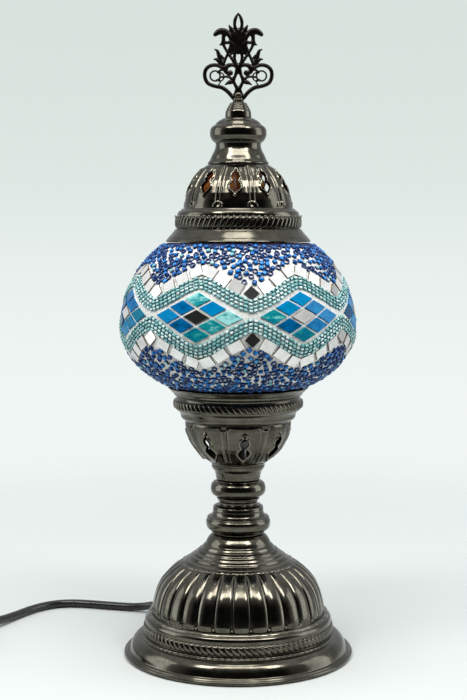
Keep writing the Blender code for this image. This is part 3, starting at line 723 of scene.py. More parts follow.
# The cap.
CAP_WINDOWS, CAP_FIRST = 10, -3.6
CAP_LOOP = motif_outline(13.0)
CAP_LOOP_WIRE = window_rims(CAP_WINDOWS, CAP_FIRST, 261.8, CAP_LOOP)
CAP_RIBS = ribs(CAP_WINDOWS, CAP_FIRST + 18.0, 1.35, 0.42, 0.42)


def crown_relief(bearing, radius, height):
    wire, wire_wear_and_sheen = CAP_LOOP_WIRE(bearing, radius, height)
    line, line_wear_and_sheen, away = CAP_RIBS(bearing, radius, height)
    panel = np.abs(wrapped(bearing, CAP_WINDOWS, math.radians(CAP_FIRST))) / (math.pi / CAP_WINDOWS)
    ends = smoothstep(247.9, 249.6, height) * smoothstep(271.6, 268.0, height)
    bulge = 0.75 * np.clip(1 - (panel / 0.92) ** 2.2, 0, 1) - 0.45
    arch = np.abs(np.hypot(away, (height - 248.6) * 1.15) - 2.6)
    hood = np.exp(-((arch / 0.42) ** 2)) * (height > 248.4)
    proud = (wire + line + bulge) * ends + 0.45 * hood
    # The wires, ribs and hoods are painted lighter: rubbed wear on raised lines, and painted highlights.
    wear_and_sheen = 0.32 + 0.12 * bulge + 0.6 * np.maximum(np.maximum(wire_wear_and_sheen, 0.85 * line_wear_and_sheen), hood) * ends
    return proud, np.clip(wear_and_sheen, 0, 1)


COPPER = Look("cap_copper_inside_and_glow").set(Roughness=0.42)
copper_tone_and_glow = COPPER.ramp(COPPER.noise(240.0, 4.0, 0.6), (0.36, (0.30, 0.05, 0.012)), (0.66, (0.98, 0.42, 0.11)))
COPPER.link(copper_tone_and_glow, COPPER.shader.inputs["Base Color"])
# The copper tone also drives a faint emission: a painted glow, so the cap's inside shows orange through the windows.
COPPER.link(copper_tone_and_glow, COPPER.shader.inputs["Emission Color"])
COPPER.set(Metallic=0.35, Emission_Strength=0.14)
COPPER.bump(COPPER.noise(600.0), 0.15, 0.1)
COPPER = COPPER.material

CROWN_RADIUS = 29.7
crown_side = [(7.0, 271.2), (16.8, 271.2), (17.5, 270.9)]
for z in (269.4, 267.4, 265.0, 262.2, 259.0, 255.6, 252.0, 249.6, 248.1, 247.3):
    crown_side.append((CROWN_RADIUS * math.sqrt(1 - ((z - 246.0) / 31.0) ** 2), z))
crown_back = [(28.4, 247.3), (28.1, 251.2), (26.8, 256.4), (23.9, 262.4), (19.4, 267.6), (15.2, 269.6), (7.0, 269.8)]
crown = lathe("cap_crown", crown_side, crown_back, 720, crown_relief, 0.5, 50)
crown = punch(crown, "cap_crown", CAP_WINDOWS, CAP_FIRST, 261.8, CAP_LOOP, 12.0, 38.0)
crown.materials.clear()


def crown_inner_radius(z):
    return CROWN_RADIUS * math.sqrt(max(0.0, 1 - ((min(z, 276.9) - 246.0) / 31.0) ** 2)) - 0.75


line_inside(crown, crown_inner_radius, 247.0, 270.3)
show("cap_crown", crown, "cap", [BRONZE, COPPER], ["cap_dome"])

CAP_BEADS = 64


def skirt_relief(bearing, radius, height):
    proud, wear_and_sheen = bead_band(CAP_BEADS, 237.0, 243.1, -0.42, 0.95)(bearing, radius, height)
    inside = (height > 237.0) & (height < 243.1) & (radius > 32.8)
    return np.where(inside, proud, 0.0), np.where(inside, wear_and_sheen, 0.5)


skirt_side = [(28.8, 247.6), (30.2, 247.75), (30.9, 247.5), (31.4, 246.8), (32.2, 246.4), (32.9, 245.8), (33.4, 244.6)]
skirt_side += [(33.5, 243.4), (33.7, 243.0), (33.8, 240.0), (33.7, 237.2), (33.7, 236.7), (34.7, 236.3)]
skirt_side += [(35.0, 235.8), (35.7, 234.8), (36.9, 233.4), (38.1, 232.2), (38.9, 231.1), (39.5, 230.5)]
skirt_side += [(39.8, 230.0), (39.5, 229.5)]
skirt_back = [(38.4, 229.5), (36.8, 231.8), (32.6, 236.6), (32.3, 243.2), (28.8, 246.0)]
skirt = lathe("cap_skirt", soften(skirt_side, 2, 0.22), skirt_back, 768, skirt_relief, 0.42, 50)
skirt.materials.append(BRONZE)
line_inside(skirt, lambda z: float(np.interp(z, (229.5, 231.8, 236.6, 246.0), (38.9, 37.5, 33.3, 29.8))), 232.5, 248.0)
show("cap_skirt", skirt, "cap", [])
skirt.materials.append(COPPER)
studs("cap_bead_rings", CAP_BEADS, 34.5, 243.0, 0.72, "cap", 0.03, ring=True, lift=0.25)

cap_neck_side = [(3.0, 296.4), (8.4, 296.4), (9.0, 296.2), (9.2, 295.8), (10.4, 295.4), (11.8, 294.2), (12.5, 293.3)]
cap_neck_side += [(13.0, 292.7), (13.7, 292.5), (14.4, 291.9), (14.9, 291.3), (15.3, 290.4), (15.5, 288.6)]
cap_neck_side += [(15.4, 286.9), (15.0, 286.3), (14.5, 285.0), (13.6, 284.0), (12.6, 283.4), (12.3, 282.6)]
cap_neck_side += [(12.4, 281.4), (12.7, 280.0), (13.3, 278.7), (14.0, 277.4), (14.6, 276.2), (15.0, 275.2)]
cap_neck_side += [(15.5, 274.0), (16.1, 273.2), (16.7, 272.4), (16.8, 271.8), (16.4, 271.5), (3.0, 271.5)]
show(
    "cap_neck_turned",
    lathe("cap_neck_turned", soften(cap_neck_side, 2, 0.24), [(2.9, 271.5), (2.9, 296.4)], 144, None, 0.6, 50),
    "cap",
    BRONZE,
    ["cap_neck"],
)

# The cup.
CUP_WINDOWS, CUP_FIRST = 8, 7.0
CUP_LOOP = motif_outline(14.2, 1.04)
CUP_WIRE = window_rims(CUP_WINDOWS, CUP_FIRST, 118.8, CUP_LOOP)
CUP_RIBS = ribs(CUP_WINDOWS, CUP_FIRST + 22.5, 1.75, 0.5, 0.5)


def bowl_relief(bearing, radius, height):
    wire, wire_wear_and_sheen = CUP_WIRE(bearing, radius, height)
    line, line_wear_and_sheen, away = CUP_RIBS(bearing, radius, height)
    panel = np.abs(wrapped(bearing, CUP_WINDOWS, math.radians(CUP_FIRST))) / (math.pi / CUP_WINDOWS)
    ends = smoothstep(131.2, 129.6, height) * smoothstep(108.8, 110.6, height)
    bulge = 0.9 * np.clip(1 - (panel / 0.9) ** 2.4, 0, 1) - 0.55
    arch = np.abs(np.hypot(away, (height - 130.4) * 1.15) - 2.9)
    hood = np.exp(-((arch / 0.45) ** 2)) * (height < 130.4)
    proud = (wire + line + bulge) * ends + 0.4 * hood * ends
    # The wires, ribs and hoods are painted lighter: rubbed wear on raised lines, and painted highlights.
    wear_and_sheen = 0.32 + 0.12 * bulge + 0.6 * np.maximum(np.maximum(wire_wear_and_sheen, 0.85 * line_wear_and_sheen), hood) * ends
    return proud, np.clip(wear_and_sheen, 0, 1)


BOWL_RADIUS, BOWL_DEPTH, BOWL_POWER = 29.2, 28.5, 1.8


def bowl_radius(z, wall=0.0):
    """The bowl's outer radius, or its inner one a wall's thickness further in."""
    level = min(1.0, max(0.0, (130.6 - z) / (BOWL_DEPTH - wall)))
    return (BOWL_RADIUS - wall) * (1 - level**BOWL_POWER) ** (1 / BOWL_POWER)


bowl_side = [(28.2, 131.0), (29.1, 130.9)]
for z in (130.0, 128.0, 125.6, 123.0, 120.4, 117.8, 115.2, 113.0, 111.0, 109.6, 108.6):
    bowl_side.append((bowl_radius(z), z))
bowl_side.append((15.2, 108.1))
bowl_back = [(13.2, 108.1)]
for z in (109.2, 111.0, 113.0, 115.2, 117.8, 120.4, 123.0, 125.6, 128.0, 130.0):
    bowl_back.append((bowl_radius(z, 1.3), z))
bowl_back.append((27.8, 131.0))
bowl = lathe("cup_bowl", bowl_side, bowl_back, 720, bowl_relief, 0.5, 50)
bowl = punch(bowl, "cup_bowl", CUP_WINDOWS, CUP_FIRST, 118.8, CUP_LOOP, 13.0, 38.0)
bowl.materials.clear()
show("cup_bowl", bowl, "stand", BRONZE, ["cup_gallery"])

CUP_BEADS = 68


def collar_relief(bearing, radius, height):
    proud, wear_and_sheen = bead_band(CUP_BEADS, 138.4, 142.9, 0.4, 0.95)(bearing, radius, height)
    inside = (height > 138.4) & (height < 142.9) & (radius > 34.0)
    return np.where(inside, proud, 0.0), np.where(inside, wear_and_sheen, 0.5)


rim_side = [(32.6, 150.0), (37.9, 150.0), (38.8, 149.8), (38.8, 149.3), (38.1, 148.8), (37.3, 147.9), (36.7, 147.2)]
rim_side += [(36.0, 146.8), (35.7, 145.9), (35.1, 145.3), (34.5, 144.9), (34.2, 144.1), (34.5, 143.4)]
rim_side += [(34.9, 142.9), (35.1, 141.2), (35.0, 138.8), (34.8, 138.4), (34.6, 137.8), (34.2, 137.2)]
rim_side += [(33.4, 136.9), (32.7, 136.3), (32.3, 135.6), (31.9, 134.6), (31.8, 133.4), (31.2, 132.4)]
rim_side += [(30.2, 131.7), (29.4, 131.0)]
rim_back = [(28.2, 131.0), (29.8, 132.8), (31.2, 135.6), (32.4, 138.0), (32.8, 144.2), (35.4, 148.5), (32.6, 148.7)]
show(
    "cup_rim",
    lathe("cup_rim", soften(rim_side, 2, 0.22), rim_back, 816, collar_relief, 0.42, 50),
    "stand",
    BRONZE,
)
studs("cup_bead_dots", CUP_BEADS, 35.6, 138.9, 0.36, "stand", 0.02)
foot_side = [(13.4, 108.5), (15.0, 108.3), (15.6, 107.8), (15.2, 107.3), (14.8, 107.0), (14.8, 106.0)]
foot_side += [(14.7, 105.2), (14.4, 104.4), (13.9, 103.7), (13.4, 103.1), (13.0, 102.4), (12.7, 101.2)]
foot_side += [(12.4, 100.2), (12.3, 98.7), (12.0, 98.2), (5.6, 98.2)]
show(
    "cup_foot",
    lathe(
        "cup_foot", soften(foot_side, 2, 0.24), [(5.6, 99.9), (11.0, 99.9), (12.0, 104.6), (13.0, 108.5)],
        128, None, 0.6, 50,
    ),
    "stand",
    BRONZE,
)


# ---------------------------------------------------------------- openwork finial
# Strokes of the right half, each a run of (across, height, half width); the left half mirrors them.
FINIAL_STROKES = [
    [
        (0.0, 353.0, 0.25), (0.9, 351.4, 0.65), (1.75, 349.2, 0.85), (2.0, 346.9, 0.8), (1.5, 344.8, 0.9),
        (0.3, 343.2, 1.1),
    ],
    [(1.6, 340.6, 1.2), (2.9, 343.0, 1.15), (4.1, 344.8, 0.95), (5.0, 346.4, 0.35)],
    [
        (3.6, 338.4, 1.0), (4.8, 341.0, 1.2), (6.6, 342.8, 1.5), (8.9, 343.3, 1.65), (10.9, 342.8, 1.45),
        (12.5, 341.6, 1.05),
    ],
    [(12.5, 341.6, 1.05), (12.9, 341.2, 0.6)],
    [(7.4, 342.4, 1.4), (8.0, 340.2, 1.0), (8.1, 338.2, 0.95), (8.8, 336.6, 0.8), (10.0, 336.0, 0.35)],
    [
        (8.4, 337.6, 0.9), (7.6, 335.2, 0.75), (6.2, 332.6, 0.7), (4.2, 329.6, 0.75), (2.2, 326.8, 0.9),
        (0.8, 324.6, 1.1),
    ],
    [(3.6, 337.6, 0.95), (4.4, 335.0, 0.7), (5.6, 331.6, 0.7), (7.0, 328.4, 0.7), (8.4, 325.2, 0.9)],
    [(4.0, 338.0, 0.9), (5.6, 337.2, 0.8), (7.6, 337.4, 0.8)],
    [(8.4, 325.2, 0.9), (9.9, 328.2, 1.05), (10.7, 331.0, 1.0), (11.4, 332.8, 0.75), (12.9, 333.6, 0.3)],
    [(8.8, 325.4, 0.8), (10.6, 327.2, 0.9), (12.0, 328.3, 0.7), (13.3, 328.2, 0.3)],
    [(8.0, 328.8, 0.55), (9.3, 330.2, 0.6), (10.6, 330.8, 0.7)],
    [(0.3, 343.4, 1.5), (1.2, 340.6, 2.1), (1.3, 338.0, 2.0), (0.6, 335.6, 1.5)],
    [(0.6, 336.0, 1.5), (2.2, 339.4, 1.35), (3.2, 342.2, 1.1)],
    [
        (1.3, 335.8, 1.2), (1.5, 333.4, 1.0), (1.9, 331.4, 0.85), (2.0, 328.8, 0.75), (1.3, 326.2, 0.8),
        (0.2, 324.2, 1.0),
    ],
    [(0.0, 336.4, 1.4), (0.1, 333.6, 1.2), (0.1, 331.6, 0.7)],
    [(2.6, 336.6, 0.8), (3.4, 333.8, 0.6), (3.8, 331.2, 0.6)],
    [
        (0.9, 324.6, 1.1), (3.0, 325.2, 0.9), (5.2, 325.0, 1.1), (6.9, 323.6, 1.35), (6.7, 321.9, 1.2),
        (5.4, 320.9, 1.1),
    ],
    [(5.4, 320.9, 1.1), (4.3, 321.0, 1.35)],
    [
        (0.1, 325.0, 1.2), (0.9, 322.0, 0.95), (1.6, 319.6, 0.8), (2.6, 317.4, 1.0), (2.2, 315.6, 0.8),
        (0.5, 312.4, 1.0),
    ],
    [(0.2, 323.0, 0.9), (0.1, 321.0, 0.7)],
    [(2.9, 316.4, 1.1), (4.6, 316.0, 1.1), (6.0, 315.4, 0.7), (7.2, 314.6, 0.3)],
    [(2.8, 317.2, 0.8), (4.8, 318.6, 0.65), (7.4, 319.0, 0.55), (9.8, 318.6, 0.5)],
    [(7.0, 322.8, 1.1), (8.8, 322.8, 0.7), (10.4, 322.0, 0.5), (11.2, 321.2, 0.45)],
    [(7.4, 323.6, 0.9), (9.6, 324.2, 0.8), (11.4, 325.0, 0.9), (13.4, 325.2, 0.95), (15.8, 324.5, 0.95)]
    + [(17.6, 322.8, 0.95), (18.25, 320.4, 0.95), (17.9, 317.8, 0.95), (16.6, 315.6, 0.95), (14.4, 314.4, 0.95)]
    + [(11.8, 313.7, 0.95), (9.2, 313.2, 1.0), (6.8, 311.8, 1.0), (4.6, 309.8, 1.0), (3.0, 307.6, 0.9)],
    [(0.5, 312.6, 1.0), (1.4, 310.6, 0.8), (2.4, 308.2, 0.8)],
]
BOLDER = 1.14
RING_CURLS = [
    ((12.6, 319.4), 2.7, 0, 360, 0.52), ((10.1, 318.9), 2.3, 65, 295, 0.42),
    ((11.0, 316.3), 1.3, 20, 250, 0.35),
]


def rounded_run(points, samples=7):
    """A smooth run through control points, with as many values each as they have."""
    controls = [np.array(p, float) for p in points]
    controls = [2 * controls[0] - controls[1]] + controls + [2 * controls[-1] - controls[-2]]
    made = []
    for a, b, c, d in zip(controls, controls[1:], controls[2:], controls[3:]):
        for i in range(samples):
            t = i / samples
            bend, twist = 2 * a - 5 * b + 4 * c - d, 3 * b - a - 3 * c + d
            made.append(0.5 * (2 * b + (c - a) * t + bend * t**2 + twist * t**3))
    return made + [controls[-2]]


def stroke_into(work, run, side, half_depth=1.05, sides=12):
    """One rounded bar of changing width, in the plane of the openwork."""
    rings = []
    for i, (x, z, half) in enumerate(run):
        before, after = run[max(i - 1, 0)], run[min(i + 1, len(run) - 1)]
        along = np.array([after[0] - before[0], after[1] - before[1]])
        along /= max(float(np.linalg.norm(along)), 1e-9)
        half = max(half, 0.15)
        depth = half_depth * min(1.0, 0.55 + 0.45 * half)
        ring = []
        for k in range(sides):
            turn = TAU * k / sides
            wide, deep = half * math.cos(turn), depth * math.sin(turn)
            ring.append(work.verts.new((side * (x - along[1] * wide) * MM, deep * MM, (z + along[0] * wide) * MM)))
        rings.append(ring)
    for a, b in zip(rings, rings[1:]):
        for k in range(sides):
            m = (k + 1) % sides
            work.faces.new((a[k], a[m], b[m], b[k]))
    work.faces.new(rings[0])
    work.faces.new(list(reversed(rings[-1])))
    for ring in (rings[0], rings[-1]):
        x, z, half = run[0] if ring is rings[0] else run[-1]
        place = Matrix.Translation((side * x * MM, 0, z * MM)) @ Matrix.Diagonal((
            1, min(2.2, 0.9 / max(half, 0.2)), 1, 1,
        ))
        bmesh.ops.create_icosphere(work, subdivisions=2, radius=max(half, 0.15) * 1.02 * MM, matrix=place)


def openwork_mesh():
    work = bmesh.new()
    for side in (-1, 1):
        for stroke in FINIAL_STROKES:
            stroke_into(work, rounded_run([(x, z, half * BOLDER) for x, z, half in stroke]), side)
        for (x, z), radius, start, stop, half in RING_CURLS:
            steps = 28
            run = []
            for i in range(steps + 1):
                turn = math.radians(start + (stop - start) * i / steps)
                run.append((x + radius * math.cos(turn), z + radius * math.sin(turn), half))
            stroke_into(work, run, side, 0.8, 8)
    bmesh.ops.recalc_face_normals(work, faces=work.faces)
    mesh = bpy.data.meshes.new("finial_strokes")
    work.to_mesh(mesh)
    work.free()
    blank = bpy.data.objects.new("finial_strokes", mesh)
    scene.collection.objects.link(blank)
    remesh = blank.modifiers.new("Fuse", "REMESH")
    remesh.mode = "VOXEL"
    remesh.voxel_size = 0.19 * MM
    relax = blank.modifiers.new("Relax", "SMOOTH")
    relax.iterations = 3
    bpy.context.view_layer.update()
    made = bpy.data.meshes.new_from_object(blank.evaluated_get(bpy.context.evaluated_depsgraph_get()))
    made.name = "finial_leaves"
    bpy.data.objects.remove(blank, do_unlink=True)
    made.shade_smooth()
    return made


leaves = openwork_mesh()
leaves_wear_and_sheen = leaves.attributes.new("wear_and_sheen", "FLOAT", "POINT")
leaves_wear_and_sheen.data.foreach_set("value", np.full(len(leaves.vertices), 0.5, np.float32))
leaves.materials.clear()
show("finial_leaves", leaves, "finial", DARK_BRONZE, ["finial_openwork"])
socket_side = [(0.0, 311.2), (1.1, 311.0), (2.1, 310.2), (2.5, 309.2), (2.2, 308.1), (1.6, 307.5), (1.6, 307.2)]
socket_side += [(2.9, 307.0), (3.2, 306.5), (3.0, 305.9), (2.7, 305.5), (3.8, 305.1), (4.6, 304.7), (4.9, 304.2)]
socket_side += [(4.8, 303.8), (5.4, 303.4), (5.7, 302.9), (5.6, 302.5), (6.1, 302.1), (6.4, 301.6), (6.3, 301.1)]
socket_side += [(6.7, 300.7), (7.0, 300.0), (7.05, 298.4), (7.2, 297.4), (7.1, 296.8), (3.1, 296.7)]
socket_bore = [(2.9, 296.8), (2.9, 303.6), (0.0, 303.8)]
socket = lathe("finial_turning", soften(socket_side, 2, 0.22) + socket_bore, (), 96, None, 0.4, 50)
show("finial_turning", socket, "finial", BRONZE, ["finial_socket"])


# ---------------------------------------------------------------- globe: glass, grout, tiles, beads
GLOBE_RADIUS, WIDEST, DROP, RISE = 65.5, 183.0, 40.6, 59.0
LOWER_WALL_SHARE = 0.72  # how much of a depth the lower half's height loses, for a wider opening
GLOBE_LOW, GLOBE_HIGH = 150.35, 228.95
CELLS, FIRST_CROSSING = 7, 6.3
CELL_PITCH = TAU / CELLS


def globe_radius(z, inset=0.0):
    semi = np.where(np.asarray(z) < WIDEST, DROP - LOWER_WALL_SHARE * inset, RISE - inset)
    return (GLOBE_RADIUS - inset) * np.sqrt(np.clip(1 - ((z - WIDEST) / semi) ** 2, 1e-6, 1))


def globe_side(inset, steps, low=GLOBE_LOW, high=GLOBE_HIGH):
    """The globe's outline from top to bottom, at a depth under its outer face."""
    return [(float(globe_radius(z, inset)), float(z)) for z in np.linspace(high, low, steps)]


LEVELS = np.linspace(149.0, 230.2, 1600)
ARCS = np.concatenate([[0], np.cumsum(np.hypot(np.diff(LEVELS), np.diff(globe_radius(LEVELS))))])


def arc_of(z):
    return np.interp(z, LEVELS, ARCS)


def level_of(arc):
    return np.interp(arc, ARCS, LEVELS)


def on_globe(bearing, z, inset=0.0):
    """Points under the globe's outer face with their outward, eastward and upward directions."""
    bearing, z = np.broadcast_arrays(np.asarray(bearing, float), np.asarray(z, float))
    radius = globe_radius(z)
    semi = np.where(z < WIDEST, DROP, RISE)
    out = np.stack([radius / GLOBE_RADIUS**2, (z - WIDEST) / semi**2], -1)
    out /= np.linalg.norm(out, axis=-1, keepdims=True)
    sin, cos = np.sin(bearing), np.cos(bearing)
    normal = np.stack([out[..., 0] * sin, -out[..., 0] * cos, out[..., 1]], -1)
    east = np.stack([cos, sin, np.zeros_like(sin)], -1)
    up = np.cross(normal, east)
    place = np.stack([radius * sin, -radius * cos, z], -1) - normal * np.asarray(inset)[..., None]
    return place, normal, east, up


def wave(bearing):
    """0 where the two ropes cross, 1 in the middle of a cell."""
    t = ((bearing - math.radians(FIRST_CROSSING)) / CELL_PITCH) % 1.0
    ridge = np.sqrt(0.012 + (1 - 2 * t) ** 2)
    tent = (math.sqrt(1.012) - ridge) / (math.sqrt(1.012) - math.sqrt(0.012))
    return 0.5 * (0.5 - 0.5 * np.cos(TAU * t)) + 0.5 * tent


def track(bearing, at_crossing, at_middle, aside=0.0):
    """Arc position of a line that waves round the globe, moved sideways by a distance."""
    arc = arc_of(at_crossing + (at_middle - at_crossing) * wave(bearing))
    if not aside:
        return arc
    small = 0.002
    ahead = arc_of(at_crossing + (at_middle - at_crossing) * wave(bearing + small))
    slope = (ahead - arc) / (small * globe_radius(level_of(arc)))
    return arc + aside * np.sqrt(1 + slope**2)


def line_normal(ends, bearing):
    """The step in bearing and in arc that leads one millimetre straight off a track."""
    here, ahead = (float(track(np.array([b]), *ends)[0]) for b in (bearing - 0.03, bearing + 0.03))
    radius = float(globe_radius(level_of((here + ahead) / 2)))
    slope = (ahead - here) / (0.06 * radius)
    length = math.sqrt(1 + slope**2)
    return -slope / length / radius, 1 / length


UPPER_ROPE, LOWER_ROPE = (197.7, 209.4), (187.9, 173.9)
UPPER_ROW, LOWER_ROW = (204.3, 216.0), (180.3, 166.9)
ROPE_ROWS = (-2.76, -0.92, 0.92, 2.76)


def along_track(ends, aside, pitch, start=0.0, stop=TAU):
    """Bearings evenly spaced by distance along a track."""
    fine = np.linspace(start, stop, 6000)
    arc = track(fine, *ends, aside)
    step = np.hypot(np.diff(arc), np.diff(fine) * globe_radius(level_of(arc[1:])))
    walked = np.concatenate([[0], np.cumsum(step)])
    count = max(1, round(walked[-1] / pitch))
    return np.interp(walked[-1] * (np.arange(count) + 0.5) / count, walked, fine)


def bead_shape(sides, tube_sides, hole=0.34, half_long=0.66):
    """A seed bead of radius 1 round its own Z: a short rounded tube."""
    middle, wall = (1 + hole) / 2, (1 - hole) / 2
    curl = TAU * (np.arange(tube_sides) + 0.5) / tube_sides
    reach = middle + wall * np.sign(np.cos(curl)) * np.abs(np.cos(curl)) ** 0.75
    rise = half_long * np.sign(np.sin(curl)) * np.abs(np.sin(curl)) ** 0.7
    turn = TAU * np.arange(sides) / sides
    points = np.stack(
        [np.outer(np.cos(turn), reach), np.outer(np.sin(turn), reach), np.tile(rise, (sides, 1))], -1
    ).reshape(-1, 3)
    index = np.arange(sides * tube_sides).reshape(sides, tube_sides)
    nxt = np.roll(index, -1, 0)
    faces = np.stack([index, nxt, np.roll(nxt, -1, 1), np.roll(index, -1, 1)], -1).reshape(-1, 4)
    return points, faces


def bead_field(name, places, axes, others, outward, sizes, tints, finish, template=(9, 6), **shape):
    """Many seed beads in one mesh. Each has a place, its hole's direction, a second direction, the way out of the
    globe, and a size. The crest value is 1 where a bead faces outwards and 0 where it faces the grout; the glass
    paints a highlight on the crest and shade away from it."""
    points, faces = bead_shape(*template, **shape)
    axes = axes / np.linalg.norm(axes, axis=1, keepdims=True)
    first = np.cross(others, axes)
    first /= np.linalg.norm(first, axis=1, keepdims=True)
    second = np.cross(axes, first)
    basis = np.stack([first, second, axes], 1)
    offsets = np.einsum("pk,nkj->npj", points, basis)
    vertices = places[:, None, :] + offsets * sizes[:, None, None]
    count, each = len(places), len(points)
    all_faces = (faces[None] + (np.arange(count) * each)[:, None, None]).reshape(-1, 4)
    mesh = array_mesh(name, vertices.reshape(-1, 3) * MM, all_faces, 0)
    tint = mesh.attributes.new("tint", "FLOAT", "POINT")
    tint.data.foreach_set("value", np.repeat(tints, each).astype(np.float32))
    facing = np.einsum("npj,nj->np", offsets, outward)
    lying = 1 - np.abs(np.einsum("nj,nj->n", axes, outward))[:, None]
    ends = 1 - np.abs(points[:, 2] / np.abs(points[:, 2]).max())[None] ** 4
    # Painted light and shade: lying beads are lit on their outward crest, less towards their ends; beads on end get
    # the dark side colour all over.
    crest = np.clip(facing, 0, 1) * np.clip(lying * 1.6, 0, 1) * (0.35 + 0.65 * ends)
    wear_and_light = mesh.attributes.new("crest", "FLOAT", "POINT")
    wear_and_light.data.foreach_set("value", crest.ravel().astype(np.float32))
    return show(name, mesh, "globe", finish)


def glassy(name, stops, roughness, shaded_side=None, streaks=None, ripple=(420.0, 0.25, 0.10), coat=0.3):
    """Coloured glass over a pale backing: its tint comes from each piece, with streaks inside a piece and, on a bead,
    painted shade in a darker colour away from its crest, which is painted lit in the tint's colour."""
    look = Look(name).set(Roughness=roughness, Coat_Weight=coat, Coat_Roughness=0.04, IOR=1.5)
    own = look.attribute("tint").outputs["Fac"]
    if streaks:
        scale, amount = streaks
        swirl = look.noise(scale, 5.0, 0.62, (1.0, 1.0, 2.2))
        add = look.node("ShaderNodeMath", operation="MULTIPLY_ADD")
        look.link(swirl, add.inputs[0])
        add.inputs[1].default_value = amount
        add.inputs[2].default_value = -amount / 2
        total = look.node("ShaderNodeMath", operation="ADD")
        look.link(own, total.inputs[0])
        look.link(add.outputs[0], total.inputs[1])
        own = total.outputs[0]
    colour = look.ramp(own, *stops)
    if shaded_side:
        crest = look.ramp(look.attribute("crest").outputs["Fac"], (0.35, 0.0), (0.92, 1.0))
        colour = look.mix(crest, shaded_side, colour)
    look.link(colour, look.shader.inputs["Base Color"])
    look.bump(look.noise(ripple[0], 2.0, 0.5), ripple[1], ripple[2])
    return look.material


def grout_material():
    """White grout with a dark blue band along both openings: painted shadow under the cap's skirt and the cup's rim,
    and the look of dark beads crowded there.
    """
    look = Look("white_grout").set(Roughness=0.8)
    pale = look.ramp(look.noise(500.0, 4.0, 0.6), (0.3, (0.66, 0.65, 0.61)), (0.6, (0.88, 0.89, 0.87)))
    split = look.node("ShaderNodeSeparateXYZ")
    look.link(look.place(), split.inputs[0])
    level = look.node("ShaderNodeMapRange")
    level.inputs["From Min"].default_value = GLOBE_LOW * MM
    level.inputs["From Max"].default_value = GLOBE_HIGH * MM
    look.link(split.outputs["Z"], level.inputs["Value"])
    band = look.ramp(level.outputs["Result"], (0.03, 1.0), (0.055, 0.0), (0.965, 0.0), (0.985, 1.0))
    look.link(look.mix(band, pale, (0.012, 0.018, 0.075)), look.shader.inputs["Base Color"])
    look.bump(look.noise(900.0, 4.0, 0.65), 0.5, 0.3)
    return look.material


GROUT = grout_material()
# The rope beads' palest stops, near white, are painted glints, and their dark side colour is painted shade.
ROPE_GLASS = glassy(
    "aqua_bead_glass",
    [(0.0, (0.14, 0.42, 0.44)), (0.35, (0.32, 0.62, 0.63)), (0.7, (0.60, 0.84, 0.83)), (1.0, (0.93, 0.98, 0.97))],
    0.08,
    shaded_side=(0.06, 0.27, 0.29),
)
COBALT_GLASS = glassy(
    "cobalt_bead_glass",
    [(0.0, (0.0, 0.065, 0.27)), (0.35, (0.0, 0.16, 0.53)), (0.72, (0.015, 0.31, 0.84)), (0.8, (0.18, 0.55, 0.57))]
    + [(1.0, (0.62, 0.84, 0.82))],
    0.08,
    shaded_side=(0.0, 0.034, 0.17),
    coat=0.12,
)
COBALT_GLASS.node_tree.nodes["Principled BSDF"].inputs["Specular IOR Level"].default_value = 0.35
TILE_GLASS = glassy(
    "blue_tile_glass",
    [(0.0, (0.0, 0.055, 0.14)), (0.22, (0.0, 0.12, 0.34)), (0.48, (0.0, 0.23, 0.52)), (0.68, (0.0, 0.15, 0.24))]
    + [(0.84, (0.010, 0.29, 0.31)), (1.0, (0.33, 0.74, 0.74))],
    0.12,
    streaks=(190.0, 0.75),
    ripple=(260.0, 0.35, 0.25),
    coat=0.0,
)
TILE_GLASS.node_tree.nodes["Principled BSDF"].inputs["Specular IOR Level"].default_value = 0.14
MIRROR = Look("mirror_glass").set(Coat_Weight=0.3, Coat_Roughness=0.03)
# Most of the mirror tiles are half metal and half pale diffuse white, a painted reflection of the pale studio; the
# clear ones, with a tint of 1, are full mirrors and reflect the dark room.
MIRROR.link(
    MIRROR.ramp(MIRROR.attribute("tint").outputs["Fac"], (0.0, 0.5), (1.0, 1.0)), MIRROR.shader.inputs["Metallic"]
)
MIRROR.link(
    MIRROR.ramp(MIRROR.noise(160.0, 3.0, 0.6), (0.30, (0.80, 0.79, 0.77)), (0.6, (0.95, 0.96, 0.95))),
    MIRROR.shader.inputs["Base Color"],
)
MIRROR.link(MIRROR.ramp(MIRROR.noise(420.0), (0.3, 0.04), (0.75, 0.12)), MIRROR.shader.inputs["Roughness"])
MIRROR.bump(MIRROR.noise(140.0, 2.0, 0.5), 0.12, 0.12)
MIRROR = MIRROR.material
# The mirror tiles' bevels and sides: partly the mirror's dark backing and edge, partly painted shadow that outlines
# each tile.
MIRROR_EDGE = Look("mirror_backing_and_shadow").set(Roughness=0.5)
MIRROR_EDGE.link(
    MIRROR_EDGE.ramp(MIRROR_EDGE.noise(700.0, 3.0, 0.6), (0.3, (0.10, 0.075, 0.055)), (0.7, (0.30, 0.26, 0.21))),
    MIRROR_EDGE.shader.inputs["Base Color"],
)
MIRROR_EDGE = MIRROR_EDGE.material
CLEAR = Look("clear_globe_glass").set(
    Roughness=0.03, IOR=1.5, Transmission_Weight=0.95, Base_Color=(0.93, 0.97, 0.97, 1),
)
CLEAR.bump(CLEAR.noise(60.0, 2.0, 0.5), 0.05, 0.6)
CLEAR = CLEAR.material

show_turned(
    "glass_ball", (globe_side(2.55, 70), globe_side(4.9, 50)[::-1], 128, None, 4.0, 60), "globe", CLEAR,
    ["glass_globe"],
)


def grout_relief(bearing, radius, height):
    """Relief of hand-smoothed grout."""
    lumps = 0.10 * np.sin(41 * bearing + 1.3 * height) * np.sin(1.9 * height + 17 * bearing)
    return lumps, np.full(bearing.shape, 0.5)


show_turned(
    "mosaic_grout", (globe_side(1.3, 110), globe_side(2.3, 60)[::-1], 360, grout_relief, 1.2, 60), "globe",
    GROUT, ["mosaic_layer"],
)

